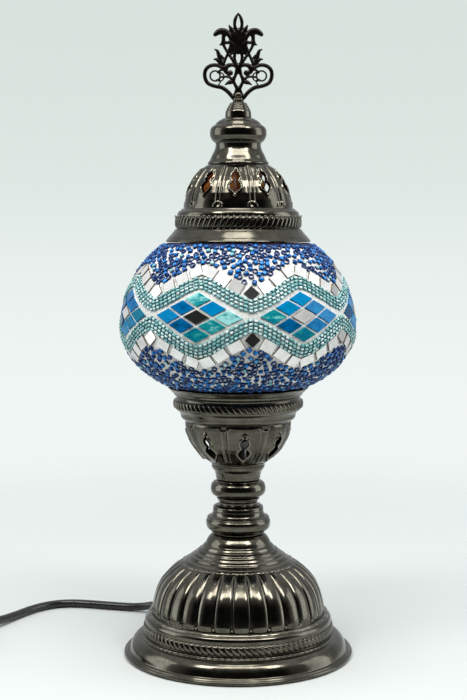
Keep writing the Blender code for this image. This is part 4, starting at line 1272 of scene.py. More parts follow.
# Ropes of strung beads.
rope_parts = []
for ends, sign in ((UPPER_ROPE, 1), (LOWER_ROPE, -1)):
    for aside in ROPE_ROWS:
        bearing = along_track(ends, aside, 2.7)
        arc = track(bearing, *ends, aside)
        ahead = track(bearing + 0.002, *ends, aside)
        place, normal, east, up = on_globe(bearing, level_of(arc), 0.85)
        slope = (ahead - arc) / (0.002 * globe_radius(level_of(arc)))
        axis = east + up * slope[:, None]
        rope_parts.append((place, axis, normal))
place, axis, normal = (np.concatenate([p[i] for p in rope_parts]) for i in range(3))
count = len(place)
axis /= np.linalg.norm(axis, axis=1, keepdims=True)
axis = axis + dice.normal(0, 0.10, (count, 3))
place = place + dice.normal(0, 0.08, (count, 3))
sizes = dice.uniform(0.74, 0.84, count)
# Many rope beads take tints near the top of the ramp, the painted glints.
rope_tints_and_glints = dice.uniform(0.0, 1.0, count) ** 0.8
bead_field("rope_beads", place, axis, normal, normal, sizes, rope_tints_and_glints, ROPE_GLASS, (10, 8), half_long=1.48)


# Flat tiles.
def flat_tile(bearings, levels, depth, lean, bevel=0.22, thick=1.5):
    """Corners of one bevelled flat tile, from its corners on the globe: three rings, top to bottom."""
    place, normal, _, _ = on_globe(np.array(bearings), np.array(levels), depth)
    middle, out = place.mean(0), normal.mean(0)
    out = out / np.linalg.norm(out) + lean
    out /= np.linalg.norm(out)
    flat = place - ((place - middle) @ out)[:, None] * out
    inward = middle - flat
    inward /= np.linalg.norm(inward, axis=1, keepdims=True)
    top = flat + inward * bevel * 1.3
    return [top, flat - out * bevel, flat - out * thick]


def tile_field(name, tiles, tints, finish):
    """Many tiles in one mesh. Their sides below the bevel take the second material, if there is one."""
    vertices, quads = [], []
    for tile in tiles:
        base = sum(len(v) for v in vertices)
        sides = len(tile[0])
        vertices.append(np.concatenate(tile))
        quads.append([base + k for k in range(sides)])
        for ring in (0, 1):
            for k in range(sides):
                m = (k + 1) % sides
                a = base + ring * sides
                quads.append([a + m, a + k, a + sides + k, a + sides + m])
        quads.append([base + 2 * sides + k for k in reversed(range(sides))])
    mesh = array_mesh(name, np.concatenate(vertices) * MM, np.array(quads), 0)
    mesh.shade_flat()
    if isinstance(finish, list):
        deep = np.zeros((len(tiles), 10), np.int32)
        deep[:, 1:9] = 1
        mesh.polygons.foreach_set("material_index", deep.ravel())
    tint = mesh.attributes.new("tint", "FLOAT", "POINT")
    tint.data.foreach_set("value", np.repeat(tints, 12).astype(np.float32))
    return show(name, mesh, "globe", finish)


blue_tiles, blue_tints, mirror_tiles, clear = [], [], [], []
CLEAR_MIDDLE = 6  # the cell whose middle tile is a clear mirror
TIP_ARC = float(arc_of(192.4))
TOP_ARC, LOW_ARC = float(arc_of(205.4)), float(arc_of(178.0))
GROUT_GAP = 0.075
# Tints of the two front cells' tiles, from dark blue at 0 through blue and teal to pale aqua at 1; cell 6's rightmost
# tile, (2, 2) at 0.98, is pale aqua as a painted glare.
FRONT_TINTS_AND_GLARE = {
    0: {
        (0, 0): 0.82, (1, 0): 0.50, (2, 0): 0.48, (0, 1): 0.14, (2, 1): 0.34, (0, 2): 0.72, (1, 2): 0.30,
        (2, 2): 0.40,
    },
    6: {
        (0, 0): 0.46, (1, 0): 0.22, (2, 0): 0.88, (0, 1): 0.14, (2, 1): 0.45, (0, 2): 0.74, (1, 2): 0.82,
        (2, 2): 0.98,
    },
}
for cell in range(CELLS):
    start = math.radians(FIRST_CROSSING) + cell * CELL_PITCH
    west, east_tip = start + math.radians(2.6), start + CELL_PITCH - math.radians(3.4)
    middle = (west + east_tip) / 2
    base_tint = dice.uniform(0.25, 0.6)
    for i in range(3):
        for j in range(3):
            corners = []
            for a, b in (
                (i + GROUT_GAP, j + GROUT_GAP),
                (i + GROUT_GAP, j + 1 - GROUT_GAP),
                (i + 1 - GROUT_GAP, j + 1 - GROUT_GAP),
                (i + 1 - GROUT_GAP, j + GROUT_GAP),
            ):
                a, b = a / 3, b / 3
                bearing = west + (middle - west) * (a + b)
                arc = TIP_ARC + a * (TOP_ARC - TIP_ARC) + b * (LOW_ARC - TIP_ARC)
                corners.append((bearing, float(level_of(arc))))
            bearings, levels = zip(*corners)
            lean = dice.normal(0, 0.02, 3)
            tile = flat_tile(bearings, levels, 0.45, lean)
            if i == 1 and j == 1:
                mirror_tiles.append(tile)
                clear.append(float(cell == CLEAR_MIDDLE))
            else:
                blue_tiles.append(tile)
                drift = 0.28 * (j - 1) + 0.12 * (i - 1)
                chance = float(np.clip(base_tint + drift + dice.normal(0, 0.13), 0.02, 0.98))
                blue_tints.append(FRONT_TINTS_AND_GLARE.get(cell, {}).get((i, j), chance))

MIRROR_HALF, DIAMOND_HALF = 3.3, 4.2
# The diamonds are set with given leans, the upper ones a little downwards and the lower ones a little upwards.
for ends, lean in ((UPPER_ROW, np.array([0.0, 0.0, -0.12])), (LOWER_ROW, np.array([0.0, 0.0, 0.16]))):
    for cell in range(CELLS):
        start = math.radians(FIRST_CROSSING) + cell * CELL_PITCH
        arc = float(arc_of(ends[0]))
        reach = DIAMOND_HALF / float(globe_radius(ends[0]))
        points = [(start, arc + DIAMOND_HALF), (start - reach, arc), (start, arc - DIAMOND_HALF), (start + reach, arc)]
        bearings = [p[0] for p in points]
        levels = [float(level_of(p[1])) for p in points]
        mirror_tiles.append(flat_tile(bearings, levels, 0.5, lean + dice.normal(0, 0.02, 3)))
        clear.append(1.0)
        side_start, side_stop = start + reach * 1.02, start + CELL_PITCH - reach * 1.02
        fine = np.linspace(side_start, side_stop, 400)
        line = track(fine, *ends)
        walked = np.concatenate(
            [[0], np.cumsum(np.hypot(np.diff(line), np.diff(fine) * globe_radius(level_of(line[1:]))))]
        )
        number = max(1, round(walked[-1] / dice.uniform(8.3, 9.2)))
        cuts = walked[-1] * np.arange(number + 1) / number
        cuts[1:-1] += dice.normal(0, 0.4, number - 1)
        for low, high in zip(cuts, cuts[1:]):
            gap = dice.uniform(0.5, 0.95)
            near, far = np.interp([low + gap, high - gap], walked, fine)
            half = MIRROR_HALF * dice.uniform(0.88, 1.0)
            corners = []
            across = line_normal(ends, (near + far) / 2)
            for bearing, aside in ((near, half), (near, -half), (far, -half), (far, half)):
                at = track(np.array([bearing]), *ends)[0] + aside * across[1]
                corners.append((bearing + aside * across[0], float(level_of(at))))
            bearings, levels = zip(*corners)
            mirror_tiles.append(flat_tile(bearings, levels, 0.36, dice.normal(0, 0.028, 3)))
            clear.append(0.0)
tile_field("blue_tiles", blue_tiles, np.array(blue_tints), TILE_GLASS)
tile_field("mirror_tiles", mirror_tiles, np.array(clear), [MIRROR, MIRROR_EDGE])


# Loose beads bedded in the grout, from the mirror rows to both openings.
THROWS = 110000  # tries for loose beads in each of the two fields


def scattered(ends, sign, edge_arc, spacing=2.82):
    """Bearings and arc positions of beads thrown at random, none closer than the spacing."""
    cell = spacing / math.sqrt(2)
    grid, found = {}, []
    low, high = sorted((edge_arc, float(arc_of(ends[0])) + sign * 3.0))
    for _ in range(THROWS):
        bearing, arc = float(dice.uniform(0, TAU)), float(dice.uniform(low, high))
        radius = float(globe_radius(level_of(arc)))
        border = float(track(np.array([bearing]), *ends, sign * (MIRROR_HALF + 1.2))[0])
        near_diamond = abs(float(wrapped(bearing, CELLS, math.radians(FIRST_CROSSING)))) * radius
        diamond = float(arc_of(ends[0])) + sign * (DIAMOND_HALF + 1.7 - near_diamond)
        limit = max(border, diamond) if sign > 0 else min(border, diamond)
        if (arc - limit) * sign < 0:
            continue
        x, y = bearing * radius, arc
        key = (int(bearing * 52 / cell), int(y / cell))
        clash = False
        for di in range(-2, 3):
            for dj in range(-2, 3):
                for other in grid.get((key[0] + di, key[1] + dj), ()):
                    if (other[0] - bearing) ** 2 * radius**2 + (other[1] - y) ** 2 < spacing**2:
                        clash = True
        if clash:
            continue
        grid.setdefault(key, []).append((bearing, y))
        found.append((bearing, y))
    return found


loose = scattered(UPPER_ROW, 1, float(arc_of(GLOBE_HIGH)) - 1.1)
loose += scattered(LOWER_ROW, -1, float(arc_of(GLOBE_LOW)) + 1.1)
bearing, arc = np.array(loose).T
count = len(bearing)
odd = dice.uniform(0, 1, count)
tints = np.where(odd < 0.11, dice.uniform(0.8, 1.0, count), dice.uniform(0.05, 0.76, count))
# Beads within 3.2 mm of an opening take a darker tint, painted shadow along both openings.
near_edge = np.minimum(arc - arc_of(GLOBE_LOW), arc_of(GLOBE_HIGH) - arc)
tints = np.where(near_edge < 3.2, 0.6 * tints, tints)
on_end = dice.uniform(0, 1, count) < 0.38
spin = dice.uniform(0, TAU, count)[:, None]
for name, chosen, inset, low, high, shape in (
    ("ring_beads", on_end, 0.95, 1.50, 1.80, {"hole": 0.6, "half_long": 0.45}),
    ("scattered_beads", ~on_end, 1.15, 1.26, 1.46, {"hole": 0.34, "half_long": 0.95}),
):
    place, normal, east, up = on_globe(bearing[chosen], level_of(arc[chosen]), inset)
    some = len(place)
    lying = east * np.cos(spin[chosen]) + up * np.sin(spin[chosen])
    axis = (normal if name == "ring_beads" else lying) + dice.normal(0, 0.13, (some, 3))
    other = east if name == "ring_beads" else normal
    size = dice.uniform(low, high, some)
    bead_field(name, place, axis, other, normal, size, tints[chosen], COBALT_GLASS, (12, 8), **shape)
print("beads", count, len(sizes), "rope and tiles", len(blue_tiles), len(mirror_tiles))


# ---------------------------------------------------------------- fittings inside the lamp
def screw_thread(pitch, depth, low, high):
    """Relief of a rounded screw thread between two heights."""

    def relief(bearing, radius, height):
        crest = 0.5 + 0.5 * np.cos(TAU * height / pitch - bearing)
        ends = smoothstep(low, low + pitch, height) * smoothstep(high, high - pitch, height)
        return -depth * (1 - crest) * ends, 0.4 + 0.3 * crest * ends

    return relief


def moved(mesh, x=0.0, y=0.0, z=0.0):
    mesh.transform(Matrix.Translation((x * MM, y * MM, z * MM)))
    return mesh


def hex_nut(name, bottom, height, corner_radius, bore, node, x=0.0):
    """A hexagon nut with chamfered corners and a rounded mouth to its bore."""
    columns = 72
    flat = corner_radius * math.cos(math.pi / 6)
    bearing = np.linspace(0, TAU, columns, endpoint=False)
    hexagon = flat / np.cos(wrapped(bearing, 6, math.radians(30.0)))
    rows = []
    for share in np.linspace(1, 0, 11):
        z = bottom + share * height
        limit = 0.93 * flat + 1.9 * min(z - bottom, bottom + height - z)
        rows.append((np.minimum(hexagon, limit), z))
    ring = np.ones(columns)
    rows = [((bore + 0.35) * ring, bottom + height)] + rows + [((bore + 0.35) * ring, bottom)]
    rows += [(bore * ring, bottom + 0.4), (bore * ring, bottom + height - 0.4)]
    grid = np.array([np.stack([r * np.sin(bearing), -r * np.cos(bearing), z * ring], -1) for r, z in rows])
    index = np.arange(len(rows) * columns).reshape(len(rows), columns)
    down = np.roll(index, -1, 0)
    faces = np.stack([index, down, np.roll(down, -1, 1), np.roll(index, -1, 1)], -1).reshape(-1, 4)
    mesh = array_mesh(name, grid.reshape(-1, 3) * MM, faces, 30)
    return show(name, moved(mesh, x), "stand", STEEL, [node])


for name, bottom, height, corner, bore, node, x in (
    ("nut_under_dome", 46.4, 4.6, 9.2, 5.4, "base_nut", 0.0),
    ("nut_in_cup", 100.1, 4.6, 9.2, 5.4, "cup_nut", 0.0),
    ("nut_under_strap", 115.6, 4.6, 9.2, 5.4, "strap_nut", 0.0),
    ("nut_left_rod", 255.9, 2.4, 3.0, 1.7, "rod_nut_left", -21.0),
    ("nut_right_rod", 255.9, 2.4, 3.0, 1.7, "rod_nut_right", 21.0),
    ("nut_below_bridge", 250.7, 3.0, 5.0, 2.7, "stud_nut_lower", 0.0),
    ("nut_above_bridge", 255.9, 3.0, 5.0, 2.7, "stud_nut_upper", 0.0),
):
    hex_nut(name, bottom, height, corner, bore, node, x)

ROD_END = screw_thread(0.7, 0.16, 236.0, 259.4)
ROD_SIDE = [(0.0, 259.6), (1.1, 259.5)] + [tuple(p) for p in dense([(1.5, 259.0), (1.5, 236.0)], 0.17)]
ROD_SIDE += [(1.5, 130.0), (1.5, 120.5), (1.1, 120.0), (0.0, 119.9)]
for side, x in (("left", -21.0), ("right", 21.0)):
    rod = lathe("tie_rod_" + side, ROD_SIDE, (), 20, ROD_END, 30.0, 60)
    show("tie_rod_" + side, moved(rod, x), "stand", STEEL, ["bracket_rod_" + side])
stud_side = [(0.0, 303.0), (1.6, 302.9), (2.4, 302.2), (2.4, 250.4), (1.6, 249.7), (0.0, 249.6)]
show_turned(
    "threaded_stud", (stud_side, (), 28, screw_thread(1.0, 0.24, 250.0, 302.6), 0.24, 60), "stand", STEEL,
    ["top_stud"],
)
tube_side = [(4.2, 127.0), (4.8, 126.9), (5.0, 126.5), (5.0, 40.5), (4.8, 40.1), (4.2, 40.0)]
hollow_tube = lathe(
    "threaded_tube", tube_side, [(3.7, 40.4), (3.7, 126.6)], 32, screw_thread(1.0, 0.26, 40.4, 126.6), 0.26, 60
)
show("threaded_tube", hollow_tube, "stand", STEEL, ["stem_tube"])
washer_side = [(5.7, 52.8), (11.7, 52.8), (12.0, 52.5), (12.0, 51.6), (11.7, 51.3), (5.7, 51.3)]
show_turned(
    "washer_under_dome", (washer_side, [(5.5, 51.5), (5.5, 52.6)], 72, None, 1.0, 40), "stand", STEEL,
    ["base_washer"],
)


def from_curve(name, guide):
    """The mesh of a curve object's shape, in the curve's place."""
    scene.collection.objects.link(guide)
    bpy.context.view_layer.update()
    mesh = bpy.data.meshes.new_from_object(guide.evaluated_get(bpy.context.evaluated_depsgraph_get()))
    bpy.data.objects.remove(guide, do_unlink=True)
    work = bmesh.new()
    work.from_mesh(mesh)
    bmesh.ops.remove_doubles(work, verts=work.verts, dist=0.00001)
    bmesh.ops.recalc_face_normals(work, faces=work.faces)
    work.to_mesh(mesh)
    work.free()
    mesh.materials.clear()
    mesh.name = name
    return mesh


def flat_plate(name, outlines, bottom, top, edge=0.18):
    """A plate with rounded edges: its outline, then its holes, seen from above."""
    curve = bpy.data.curves.new(name, "CURVE")
    curve.dimensions = "2D"
    curve.fill_mode = "BOTH"
    curve.extrude = ((top - bottom) / 2 - edge) * MM
    curve.bevel_depth = edge * MM
    curve.bevel_resolution = 2
    curve.offset = -edge * MM
    for outline in outlines:
        spline = curve.splines.new("POLY")
        spline.points.add(len(outline) - 1)
        for point, (x, y) in zip(spline.points, outline):
            point.co = (x * MM, y * MM, 0.0, 1.0)
        spline.use_cyclic_u = True
    mesh = moved(from_curve(name, bpy.data.objects.new(name, curve)), z=(bottom + top) / 2)
    mesh.shade_smooth()
    mesh.set_sharp_from_angle(angle=math.radians(50))
    return mesh


def circle(x, radius, steps=32):
    return [(x + radius * math.cos(TAU * i / steps), radius * math.sin(TAU * i / steps)) for i in range(steps)]


def strap_outline(length, width, waist):
    """Round ends, and a waist between the middle and the ends."""
    half, side = length / 2, width / 2
    end = side * waist
    points = []
    for i in range(13):
        turn = math.radians(-90 + 15 * i)
        points.append((half - end + end * math.cos(turn), end * math.sin(turn)))
    for i in range(1, 12):
        x = (half - end) * (1 - i / 6)
        blend = math.cos(math.pi / 2 * min(1.0, abs(x) / (half - end))) ** 2
        points.append((x, end + (side - end) * blend))
    points += [(-x, -y) for x, y in points]
    return points


strap = flat_plate(
    "lower_strap", [strap_outline(46.6, 15.0, 0.62), circle(0, 5.5), circle(-21, 1.9), circle(21, 1.9)],
    120.6, 122.2,
)
show("lower_strap", strap, "stand", STEEL, ["bracket_strap"])
bridge = flat_plate(
    "upper_bridge", [strap_outline(47.0, 9.0, 0.9), circle(0, 2.9), circle(-21, 1.9), circle(21, 1.9)],
    254.0, 255.6,
)
show("upper_bridge", bridge, "stand", STEEL, ["bracket_bridge"])


# The lampholder.
def grip_ribs(count, low, high, depth):
    """Relief of upright grip ribs, cut in between two heights."""

    def relief(bearing, radius, height):
        tooth = np.clip(np.cos(count * bearing) * 1.6, -1, 1) * 0.5 + 0.5
        ends = smoothstep(low, low + 0.8, height) * smoothstep(high, high - 0.8, height)
        return -depth * (1 - tooth) * ends, np.full(bearing.shape, 0.5)

    return relief


holder_cap_side = [(6.0, 122.7), (13.0, 122.5), (13.8, 122.8), (14.2, 123.6), (14.2, 136.6), (13.9, 137.0)]
holder_cap_side = holder_cap_side[::-1]
holder_cap_back = [(5.5, 123.0), (5.5, 125.0), (12.6, 125.0), (12.6, 136.9)]
show_turned(
    "holder_cap", (holder_cap_side, holder_cap_back, 240, grip_ribs(40, 124.4, 135.6, 0.45), 0.5, 50),
    "stand", PHENOLIC, ["lampholder_cap"],
)
holder_side = [(9.9, 163.0), (12.9, 163.0), (13.8, 162.6), (14.2, 161.8), (14.2, 139.0), (13.9, 137.3)]
holder_back = [(12.6, 137.3), (12.6, 161.4), (9.8, 161.4)]
show_turned(
    "holder_body", (holder_side, holder_back, 120, screw_thread(2.6, 0.75, 141.0, 161.4), 0.35, 50), "stand",
    PHENOLIC, ["lampholder_body"],
)
insert_side = [(3.0, 136.7), (11.2, 136.7), (11.9, 136.1), (11.9, 129.6), (11.2, 129.0), (3.0, 129.0)]
show_turned(
    "holder_insert",
    (insert_side, [(2.6, 129.4), (2.6, 136.3)], 96, grip_ribs(4, 129.5, 136.2, 0.9), 0.6, 50), "stand",
    PHENOLIC, ["lampholder_insert"],
)
show_turned(
    "holder_contact",
    ([(0, 138.8), (1.4, 138.8), (3.0, 138.3), (3.4, 137.4), (3.3, 137.0), (0, 137.0)], (), 40, None, 0.3),
    "stand", BRASS, ["lampholder_contact"],
)
EDISON = screw_thread(2.82, 0.5, 141.5, 160.6)
shell_side = [(8.1, 161.1), (8.3, 160.9), (8.3, 139.6), (8.1, 139.4)]
show_turned(
    "holder_screw_shell", (shell_side, [(7.6, 139.5), (7.6, 161.0)], 64, EDISON, 0.35, 60), "stand", BRASS,
    ["lampholder_screw_shell"],
)

# The bulb.
BULB_THREAD = screw_thread(2.82, 0.6, 145.4, 159.0)
screw_cap_side = [(0, 163.7), (6.2, 163.6), (6.8, 163.0), (6.9, 162.0), (6.5, 160.2), (6.9, 158.6), (6.9, 146.4)]
screw_cap_side += [(6.3, 144.8), (4.8, 143.2), (3.6, 141.8), (3.1, 140.8), (2.9, 140.0), (2.2, 139.5), (0, 139.4)]
show_turned(
    "bulb_base", (screw_cap_side, (), 64, BULB_THREAD, 0.35, 60), "bulb", BRASS,
    ["bulb_screw_cap"],
)


def thin_glass(name, tint, weight):
    look = Look(name).set(Roughness=0.02, IOR=1.45, Transmission_Weight=weight, Base_Color=(*tint, 1.0))
    look.link(look.ramp(look.noise(260.0, 2.0, 0.5), (0.3, 0.015), (0.8, 0.05)), look.shader.inputs["Roughness"])
    look.bump(look.noise(90.0, 2.0, 0.5), 0.04, 0.4)
    return look.material


BULB_GLASS = thin_glass("bulb_clear_glass", (0.97, 0.97, 0.95), 0.97)
envelope = [(0, 221.2), (1.4, 220.7), (2.8, 219.0), (4.8, 216.0), (7.2, 212.2), (9.8, 207.6), (12.4, 202.2)]
envelope += [(14.5, 196.6), (15.7, 191.4), (16.0, 186.6), (15.7, 182.0), (14.6, 177.2), (12.8, 172.4)]
envelope += [(10.4, 168.2), (8.0, 165.2), (6.4, 163.95)]
envelope_back = [(5.8, 164.0), (7.4, 165.6), (9.8, 168.8), (12.1, 172.8), (13.9, 177.4), (15.0, 182.0), (15.3, 186.6)]
envelope_back += [(15.0, 191.2), (13.8, 196.3), (11.8, 201.7), (9.2, 207.0), (6.6, 211.6), (4.2, 215.4), (1.9, 218.8)]
envelope_back += [(0.0, 219.9)]
bulb_shape = [tuple(p) for p in soften(envelope, 1)] + [tuple(p) for p in soften(envelope_back, 1)]
show_turned("bulb_envelope", (bulb_shape, (), 72, None, 2.0, 80), "bulb", BULB_GLASS, ["bulb_glass"])

TUNGSTEN = plain_metal("bulb_wire", (0.42, 0.42, 0.44), 0.3, False)
pinch_side = [(0, 195.9), (0.9, 195.6), (1.3, 194.8), (1.1, 192.0), (1.0, 186.0), (1.3, 180.0), (1.9, 175.0)]
pinch_side += [(3.2, 168.0), (4.4, 164.4), (4.2, 163.95), (0, 163.95)]
show_turned(
    "bulb_mount", (soften(pinch_side, 2), (), 40, None, 0.8, 60), "bulb", BULB_GLASS,
    ["bulb_stem"],
)


def wire(name, points, radius, finish, body, slot, stands_for=()):
    """A fine round wire through points in millimetres, as a mesh."""
    guide = round_curve(name, [tuple(c * MM for c in p) for p in points], radius * MM, finish, 4)
    guide.data.bevel_resolution = 2
    return show(name, from_curve(name, guide), body, finish, stands_for)


for side in (-1, 1):
    support = [(side * 0.6, 0, 176.0), (side * 1.6, 0, 182.0), (side * 4.4, 0, 191.0), (side * 6.6, 0, 197.5)]
    wire("filament_support_" + ("left", "right")[side > 0], support, 0.18, TUNGSTEN, "bulb", "bulb_glass")
TURNS, SPIRAL = 26, []
for i in range(TURNS * 8 + 1):
    share = i / (TURNS * 8)
    x = -6.6 + 13.2 * share
    sag = 197.5 - 1.6 * math.sin(math.pi * share)
    SPIRAL.append((x, 0.42 * math.cos(TAU * i / 8), sag + 0.42 * math.sin(TAU * i / 8)))
wire("filament", SPIRAL, 0.09, TUNGSTEN, "bulb", "bulb_glass")

# ---------------------------------------------------------------- under the base


def felt_fuzz(bearing, radius, height):
    """Relief of soft lumps in the felt; height is there because every relief takes it."""
    lumps = np.sin(23 * bearing + 0.9 * radius) * np.sin(0.83 * radius + 11 * bearing)
    return 0.06 * lumps, np.full(bearing.shape, 0.5)


felt_side = [(0, 1.55), (20, 1.55), (50, 1.55), (59.8, 1.5), (60.3, 1.3), (60.5, 0.8), (60.4, 0.3), (60.0, 0.06)]
felt_side += [(50.0, 0.06), (20.0, 0.06), (0, 0.06)]
show_turned("felt_disc", (felt_side, (), 180, felt_fuzz, 1.4, 60), "stand", FELT, ["felt_pad"])
plate_side = [
    (0, 3.0), (12, 3.0), (13, 2.8), (40, 2.8), (41, 3.05), (57.6, 3.05), (58.2, 2.9), (58.4, 2.5),
    (58.2, 2.05),
]
plate_side += [(57.4, 1.9), (0, 1.9)]
show_turned("bottom_plate", (plate_side, (), 144, None, 2.5, 40), "stand", STEEL, ["base_plate"])


def cast_skin(bearing, radius, height):
    """Relief of a rough casting."""
    rough = np.sin(31 * bearing + 2.1 * height + 0.7 * radius) * np.sin(13 * bearing - 1.1 * radius)
    return 0.12 * rough, np.full(bearing.shape, 0.5)


ballast_side = [
    (0, 9.6), (7, 9.6), (9, 10.3), (37.6, 10.4), (39.2, 9.9), (39.9, 9.0), (40.0, 4.2), (39.4, 3.5),
    (0, 3.4),
]
show_turned(
    "iron_weight", (ballast_side, (), 144, cast_skin, 1.4, 50), "stand", IRON,
    ["base_ballast"],
)

# The two insulated wires from the lead's entry up to the lampholder, lightly twisted.
ENTRY_BEARING = math.radians(122.5)
LEAD_STOPS = [(49.6, 8.4), (46.0, 9.8), (41.5, 13.4), (36.0, 15.6), (28.0, 16.6), (18.0, 17.6), (9.0, 20.4)]
LEAD_STOPS += [(3.0, 26.0), (0.2, 34.0), (0.0, 42.0), (0.0, 70.0), (0.0, 100.0), (0.0, 128.6)]
lead_line = [Vector((r * math.cos(ENTRY_BEARING), r * math.sin(ENTRY_BEARING), z)) for r, z in LEAD_STOPS]
lead_line = [Vector(p) for p in soften(dense(lead_line, 3.0), 2)]
twisted, gone = [[], []], 0.0
for i, here in enumerate(lead_line):
    along = (lead_line[min(i + 1, len(lead_line) - 1)] - lead_line[max(i - 1, 0)]).normalized()
    gone += (here - lead_line[i - 1]).length if i else 0.0
    across = along.cross(Vector((math.sin(ENTRY_BEARING), -math.cos(ENTRY_BEARING), 0.0))).normalized()
    turned = Matrix.Rotation(TAU * gone / 34.0, 3, along) @ across
    twisted[0].append(here + 1.14 * turned)
    twisted[1].append(here - 1.14 * turned)
for side, points, stands_for in (("a", twisted[0], ["inner_lead"]), ("b", twisted[1], [])):
    wire("inner_wire_" + side, [tuple(p) for p in points], 1.13, PVC, "stand", "black_pvc", stands_for)

# ---------------------------------------------------------------- strain relief, switch and plug
relief_place = Matrix.Translation((0, 0, 8.3 * MM)) @ Matrix.Rotation(ENTRY_BEARING, 4, "Z")
relief_place = relief_place @ Matrix.Rotation(math.pi / 2, 4, "Y")
RELIEF_TIP, RELIEF_COLLAR, RELIEF_RINGS = 73.1, 62.3, 5
relief_side = [(0.0, RELIEF_TIP), (2.75, RELIEF_TIP), (3.05, 72.9)]
ring_pitch = (RELIEF_TIP - RELIEF_COLLAR - 0.6) / RELIEF_RINGS
for i in range(RELIEF_RINGS):
    at = RELIEF_TIP - 0.3 - i * ring_pitch
    proud = 3.1 + 0.8 * i / (RELIEF_RINGS - 1)
    relief_side += [(proud, at - 0.15 * ring_pitch), (proud + 0.05, at - 0.55 * ring_pitch)]
    relief_side += [(proud - 0.62, at - 0.68 * ring_pitch), (proud - 0.58, at - 0.95 * ring_pitch)]
relief_side += [
    (4.3, RELIEF_COLLAR), (4.6, 62.0), (4.6, 61.1), (4.3, 60.9), (3.0, 60.8), (3.0, 51.0), (2.8, 50.7),
    (0, 50.7),
]
relief = lathe("strain_relief", soften(relief_side, 1), (), 48, None, 0.5, 50)
relief.transform(relief_place)
show("strain_relief", relief, "stand", PVC, ["cord_strain_relief"])

SWITCH_CENTRE, SWITCH_BEARING = (-167.2, -1.0), math.radians(-115.9)
SWITCH_PLACE = Matrix.Translation((SWITCH_CENTRE[0] * MM, SWITCH_CENTRE[1] * MM, 0)) @ Matrix.Rotation(
    SWITCH_BEARING, 4, "Z"
)


def lofted(name, plan, levels):
    """A closed body through copies of one convex plan, each level an (inset, height) pair, from top to bottom."""
    plan = np.array(plan)
    rows = []
    for inset, z in levels:
        shrink = (np.abs(plan).max(0) - inset) / np.abs(plan).max(0)
        rows.append([(x, y, z) for x, y in plan * shrink])
    work = bmesh.new()
    grid = [[work.verts.new(Vector(p) * MM) for p in row] for row in rows]
    size = len(plan)
    for a, b in zip(grid, grid[1:]):
        for k in range(size):
            m = (k + 1) % size
            work.faces.new((a[k], b[k], b[m], a[m]))
    work.faces.new(grid[0])
    work.faces.new(list(reversed(grid[-1])))
    bmesh.ops.recalc_face_normals(work, faces=work.faces)
    mesh = bpy.data.meshes.new(name)
    work.to_mesh(mesh)
    work.free()
    return mesh


def carved(name, mesh, cutter_meshes):
    """A mesh less some others."""
    target = bpy.data.objects.new(name + "_blank", mesh)
    scene.collection.objects.link(target)
    cutters = []
    for cutter_mesh in cutter_meshes:
        cutter = bpy.data.objects.new(name + "_cutter", cutter_mesh)
        scene.collection.objects.link(cutter)
        boolean = target.modifiers.new("Cut", "BOOLEAN")
        boolean.operation = "DIFFERENCE"
        boolean.solver = "EXACT"
        boolean.object = cutter
        cutters.append(cutter)
    bpy.context.view_layer.update()
    made = bpy.data.meshes.new_from_object(target.evaluated_get(bpy.context.evaluated_depsgraph_get()))
    made.name = name
    for thing in [target] + cutters:
        bpy.data.objects.remove(thing, do_unlink=True)
    made.materials.clear()
    made.shade_smooth()
    made.set_sharp_from_angle(angle=math.radians(40))
    return made


def rounded_box_plan(half_x, half_y, corner, steps=5):
    """The outline of a box with rounded corners, seen from above."""
    points = []
    for turn, sx, sy in ((0, 1, 1), (90, -1, 1), (180, -1, -1), (270, 1, -1)):
        for i in range(steps + 1):
            angle = math.radians(turn + 90 * i / steps)
            points.append((
                sx * (half_x - corner) + corner * math.cos(angle),
                sy * (half_y - corner) + corner * math.sin(angle),
            ))
    return points


quarter = [(29.0, 0.0), (29.0, 3.0), (28.6, 4.8), (26.0, 8.0), (22.6, 10.4), (18.6, 11.7), (13.0, 12.0), (0.0, 12.0)]
switch_quarter = [tuple(p) for p in soften(quarter, 2)]
switch_plan = switch_quarter[:-1] + [(-x, y) for x, y in reversed(switch_quarter)][:-1]
switch_plan += [(-x, -y) for x, y in switch_plan]


def switch_cavities(pocket_low, pocket_high):
    """The room for the contacts, the channel for the lead and the screw's hole."""
    pocket = lofted("pocket", rounded_box_plan(17.0, 8.5, 1.0), [(0, pocket_high), (0, pocket_low)])
    bore = lofted("bore", circle(0, 1.9), [(0, 11.6), (0, -1.0)])
    channel = lofted("channel", circle(0, 2.65), [(0, 33.0), (0, -33.0)])
    channel.transform(Matrix.Translation((0, 0, 6.85 * MM)) @ Matrix.Rotation(math.pi / 2, 4, "Y"))
    return [pocket, moved(bore, 21.0, 6.4), channel]


lower_levels = [(0.25, 7.0), (0.0, 6.8), (0.0, 3.2), (0.5, 1.6), (1.5, 0.6), (3.0, 0.25), (4.5, 0.2)]
lower = carved("switch_bottom", lofted("switch_bottom", switch_plan, lower_levels), switch_cavities(2.0, 8.0))
upper_levels = [(7.0, 14.75), (5.0, 14.7), (3.2, 14.4), (1.8, 13.8), (0.8, 12.8), (0.2, 11.2), (0.0, 9.4), (0.0, 7.5)]
upper_levels += [(0.25, 7.3)]
slot = moved(lofted("slot", rounded_box_plan(7.9, 4.6, 0.8), [(0, 25.0), (0, 5.0)]))
upper = carved("switch_top", lofted("switch_top", switch_plan, upper_levels), switch_cavities(5.9, 12.9) + [slot])
for name, mesh, node in (("switch_bottom", lower, "switch_lower_shell"), ("switch_top", upper, "switch_upper_shell")):
    mesh.transform(SWITCH_PLACE)
    show(name, mesh, "stand", PVC, [node])

